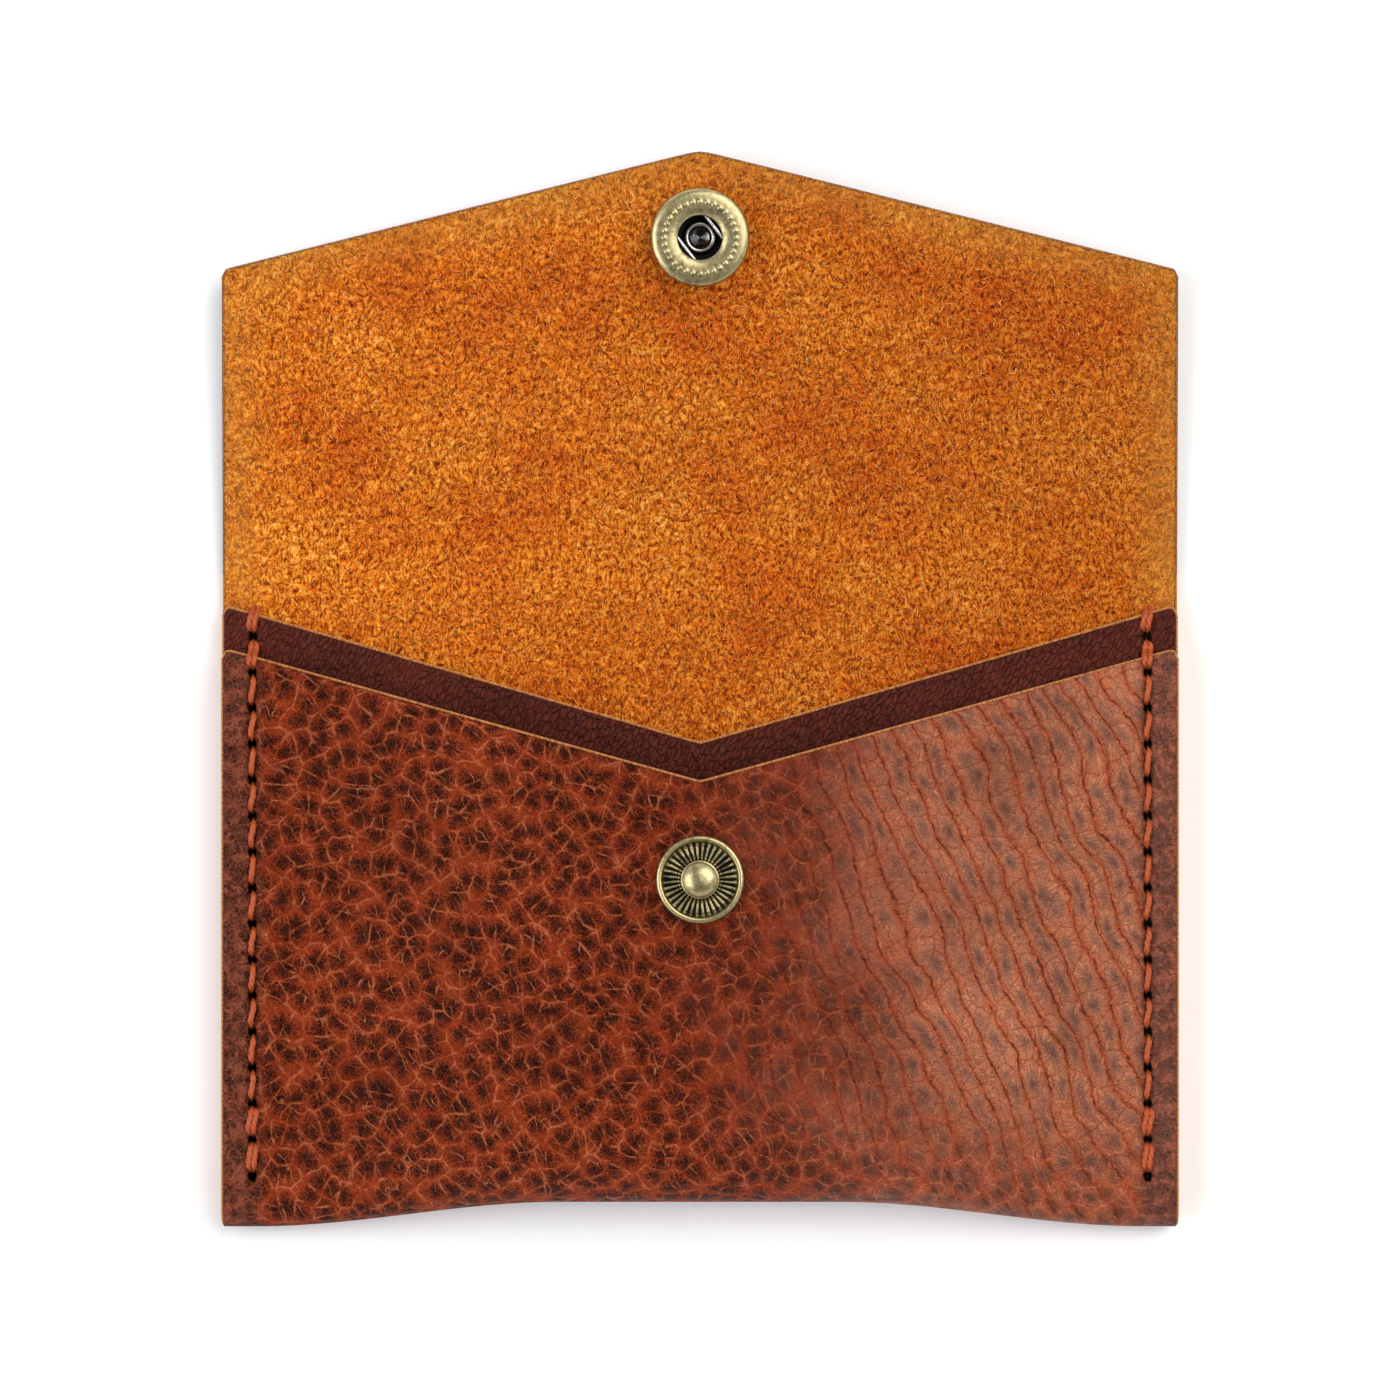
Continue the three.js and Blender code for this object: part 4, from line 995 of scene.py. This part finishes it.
bar, reach = 2.02, 4.78
bar_end = np.sqrt(reach**2 - bar**2)
turn_angle = np.linspace(-np.arctan2(bar, bar_end), np.arctan2(bar, bar_end), 25)
straight = np.linspace(-bar_end, bar_end, 30)[:-1]
wire_x = np.concatenate([straight, reach * np.cos(turn_angle), straight[::-1]])
wire_y = np.concatenate([np.full(29, -bar), reach * np.sin(turn_angle), np.full(29, bar)])
spring_turn = np.radians(-52)
wire_height = np.full(len(wire_x), 2.38)
wire = np.stack([wire_x * np.cos(spring_turn) - wire_y * np.sin(spring_turn),
                 wire_x * np.sin(spring_turn) + wire_y * np.cos(spring_turn), wire_height], axis=1)
wire_points = wire + np.array(snap_place)
leaned = np.stack([wire_points[:, 0],
                   wire_points[:, 1] * np.cos(LEAN) - wire_points[:, 2] * np.sin(LEAN),
                   wire_points[:, 1] * np.sin(LEAN) + wire_points[:, 2] * np.cos(LEAN)], axis=1)
spring = tube_piece("spring_wire", [tube(leaned + [0, BACK_HEIGHT + FOLD_Y, AXIS_HEIGHT], 0.22, 16)], STEEL)
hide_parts("socket_spring")
print("snap pieces:", [len(piece.data.polygons) for piece in (stud, eyelet, ring, plate, cap, spring)])

# %% [markdown]
# A shader alone can't break the suede's outline or throw real little shadows, so a thin layer of loose
# fibres lies on the flesh side. Each is a sliver of four faces: three points at its root and one at
# its raised tip. Their directions follow a slow swirl with plenty of scatter, as brushed suede does.

# %% Loose suede fibres


def nap_fibres(count, seed):
    """Points, faces and tone of the slivers, spread evenly over the open flesh side."""
    random = np.random.default_rng(seed)
    x = random.uniform(-HALF_WIDTH + 0.15, HALF_WIDTH - 0.15, count * 2)
    y = random.uniform(DIVIDER_NOTCH_Y, BACK_HEIGHT + SNAP_REACH + SNAP_TO_POINT, count * 2)
    room = (y > notched_edge(x, DIVIDER_NOTCH_Y, DIVIDER_NOTCH_RISE) + 0.2) & (
        y < BACK_HEIGHT + flap_edge(x) * np.cos(LEAN) - 0.35)
    off_snap = np.hypot(x, y - BACK_HEIGHT - SNAP_REACH) > 5.7
    x, y = x[room & off_snap][:count], y[room & off_snap][:count]
    total = len(x)
    bend = np.clip(y - (BACK_HEIGHT - 2.5), 0, None)
    z = LEATHER + np.where(bend < 5, bend**2 / 10, bend - 2.5) * np.tan(LEAN)
    heading = 2.4 * slow_waves(x, y, 9) + 0.9 + random.normal(0, 0.9, total)
    in_crease = (y > CREASE_START - 0.5) & (y < CREASE_END + 0.5)
    length = (random.gamma(4, 0.1, total) + 0.2) * np.where(in_crease, 0.5, 1)
    lift = random.uniform(0.06, 0.34, total)
    width = random.uniform(0.03, 0.065, total)
    ahead = np.stack([np.cos(heading), np.sin(heading), 0 * x], axis=1)
    aside = np.stack([-np.sin(heading), np.cos(heading), 0 * x], axis=1)
    root = np.stack([x, y + FOLD_Y, z - 0.04], axis=1)
    tip = root + ahead * length[:, None] + [0, 0, 1] * (lift[:, None] + 0.04)
    tip[:, 0] = np.clip(tip[:, 0], -HALF_WIDTH + 0.12, HALF_WIDTH - 0.12)
    tip[:, 1] = np.minimum(tip[:, 1], FOLD_Y + BACK_HEIGHT + flap_edge(tip[:, 0]) * np.cos(LEAN) - 0.12)
    corners = [root - aside * width[:, None], root + aside * width[:, None],
               root + [0, 0, 1] * (width[:, None] * 1.4 + 0.05), tip]
    points = np.stack(corners, axis=1).reshape(-1, 3)
    base = (np.arange(total) * 4)[:, None, None]
    faces = (base + np.array([[0, 1, 2], [0, 3, 1], [1, 3, 2], [2, 3, 0]])).reshape(-1, 3)
    tone = np.repeat(random.uniform(0, 1, total), 4)
    return points, faces, tone


def suede_fibre():
    """Single collagen fibres of the dyed flesh side: matt, from burnt orange to pale gold."""
    material, tree, shader = new_material("suede_fibre", Roughness=0.9, IOR=1.4)
    colour = ramp(tree, attribute(tree, "tone"), [(0.0, "#5A2203"), (0.35, "#B85A06"), (0.8, "#EA8A1A"),
                                                 (1.0, "#FFC26A")])
    tree.links.new(colour, shader.inputs["Base Color"])
    return material


nap_points, nap_faces, nap_tone = nap_fibres(48000, 21)
nap = mesh_piece("suede_nap", nap_points, nap_faces, [suede_fibre()], smooth=False, tone=nap_tone)
face_outwards(nap)
print("suede fibres:", len(nap_faces) // 4)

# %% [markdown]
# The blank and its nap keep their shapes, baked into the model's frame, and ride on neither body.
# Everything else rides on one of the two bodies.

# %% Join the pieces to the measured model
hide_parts("pouch_leather", "flap_leather")
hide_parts("pocket_divider")
for sheet in (blank, nap):
    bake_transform(sheet)
for piece in (divider, stud, eyelet, *threads):
    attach(piece, "pouch")
for piece in (ring, plate, cap, post, bore, spring):
    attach(piece, "flap")

# %% [markdown]
# A photographer's table: a plain white floor that runs far past the view, a large soft light high on
# the right, a weaker one from the left, and a glow from the surroundings that is bright at the sides
# and dim overhead, where the camera hangs: dark leather and metal mirror what is above them. The
# camera looks straight down with a long lens from 0.9 m, which gives the photograph's flat view.

# %% Floor, lights and camera
floor_material, floor_tree, floor_shader = new_material("white_paper", Roughness=0.9, IOR=1.45)
paper = noise_value(floor_tree, add_node(floor_tree, "ShaderNodeTexCoord").outputs["Object"], 0.3, 2)
floor_tree.links.new(ramp(floor_tree, paper, [(0.3, "#F4F4F4"), (0.7, "#F8F8F8")]),
                     floor_shader.inputs["Base Color"])
floor_points = 2000.0 * np.array([[-1, -1, 0], [1, -1, 0], [1, 1, 0], [-1, 1, 0]]) - [0, 0, 0.05]
floor = mesh_piece("floor", floor_points, np.array([[0, 1, 2, 3]]), [floor_material], smooth=False)


def soft_light(name, place, aim, size, power, colour):
    """A square area light at place, turned to face aim, both in metres."""
    data = bpy.data.lights.new(name, "AREA")
    data.size, data.energy = size, power
    data.color = hex_linear(colour)[:3]
    light = bpy.data.objects.new(name, data)
    light.location = place
    light.rotation_euler = (Vector(aim) - Vector(place)).to_track_quat("-Z", "Y").to_euler()
    bpy.context.collection.objects.link(light)
    return light


soft_light("window_right", (0.55, 0.4, 0.9), (0, 0, 0), 1.15, 13.0, "#FFFCF8")
soft_light("fill_left", (-0.9, -0.1, 0.8), (0, 0, 0), 1.0, 10.0, "#F6F9FF")
world = bpy.data.worlds.new("studio_glow")
bpy.context.scene.world = world
world.use_nodes = True
direction = add_node(world.node_tree, "ShaderNodeTexCoord").outputs["Generated"]
upward = add_node(world.node_tree, "ShaderNodeSeparateXYZ", {"Vector": direction}).outputs["Z"]
world.node_tree.links.new(stretch(world.node_tree, upward, 0.25, 0.95, 0.95, 0.16),
                          world.node_tree.nodes["Background"].inputs["Strength"])
world.node_tree.nodes["Background"].inputs["Color"].default_value = (1, 1, 1, 1)

VIEW_HEIGHT, FRAME_WIDTH, SENSOR = 0.9, 0.1578, 36.0
camera_data = bpy.data.cameras.new("camera")
camera_data.sensor_width = SENSOR
camera_data.lens = SENSOR * VIEW_HEIGHT / FRAME_WIDTH
camera_data.clip_start, camera_data.clip_end = 0.05, 20
camera = bpy.data.objects.new("camera", camera_data)
camera.location = (0, -0.0014, VIEW_HEIGHT + STACK * MM)
bpy.context.collection.objects.link(camera)
bpy.context.scene.camera = camera
bpy.context.scene.view_settings.view_transform = "Standard"
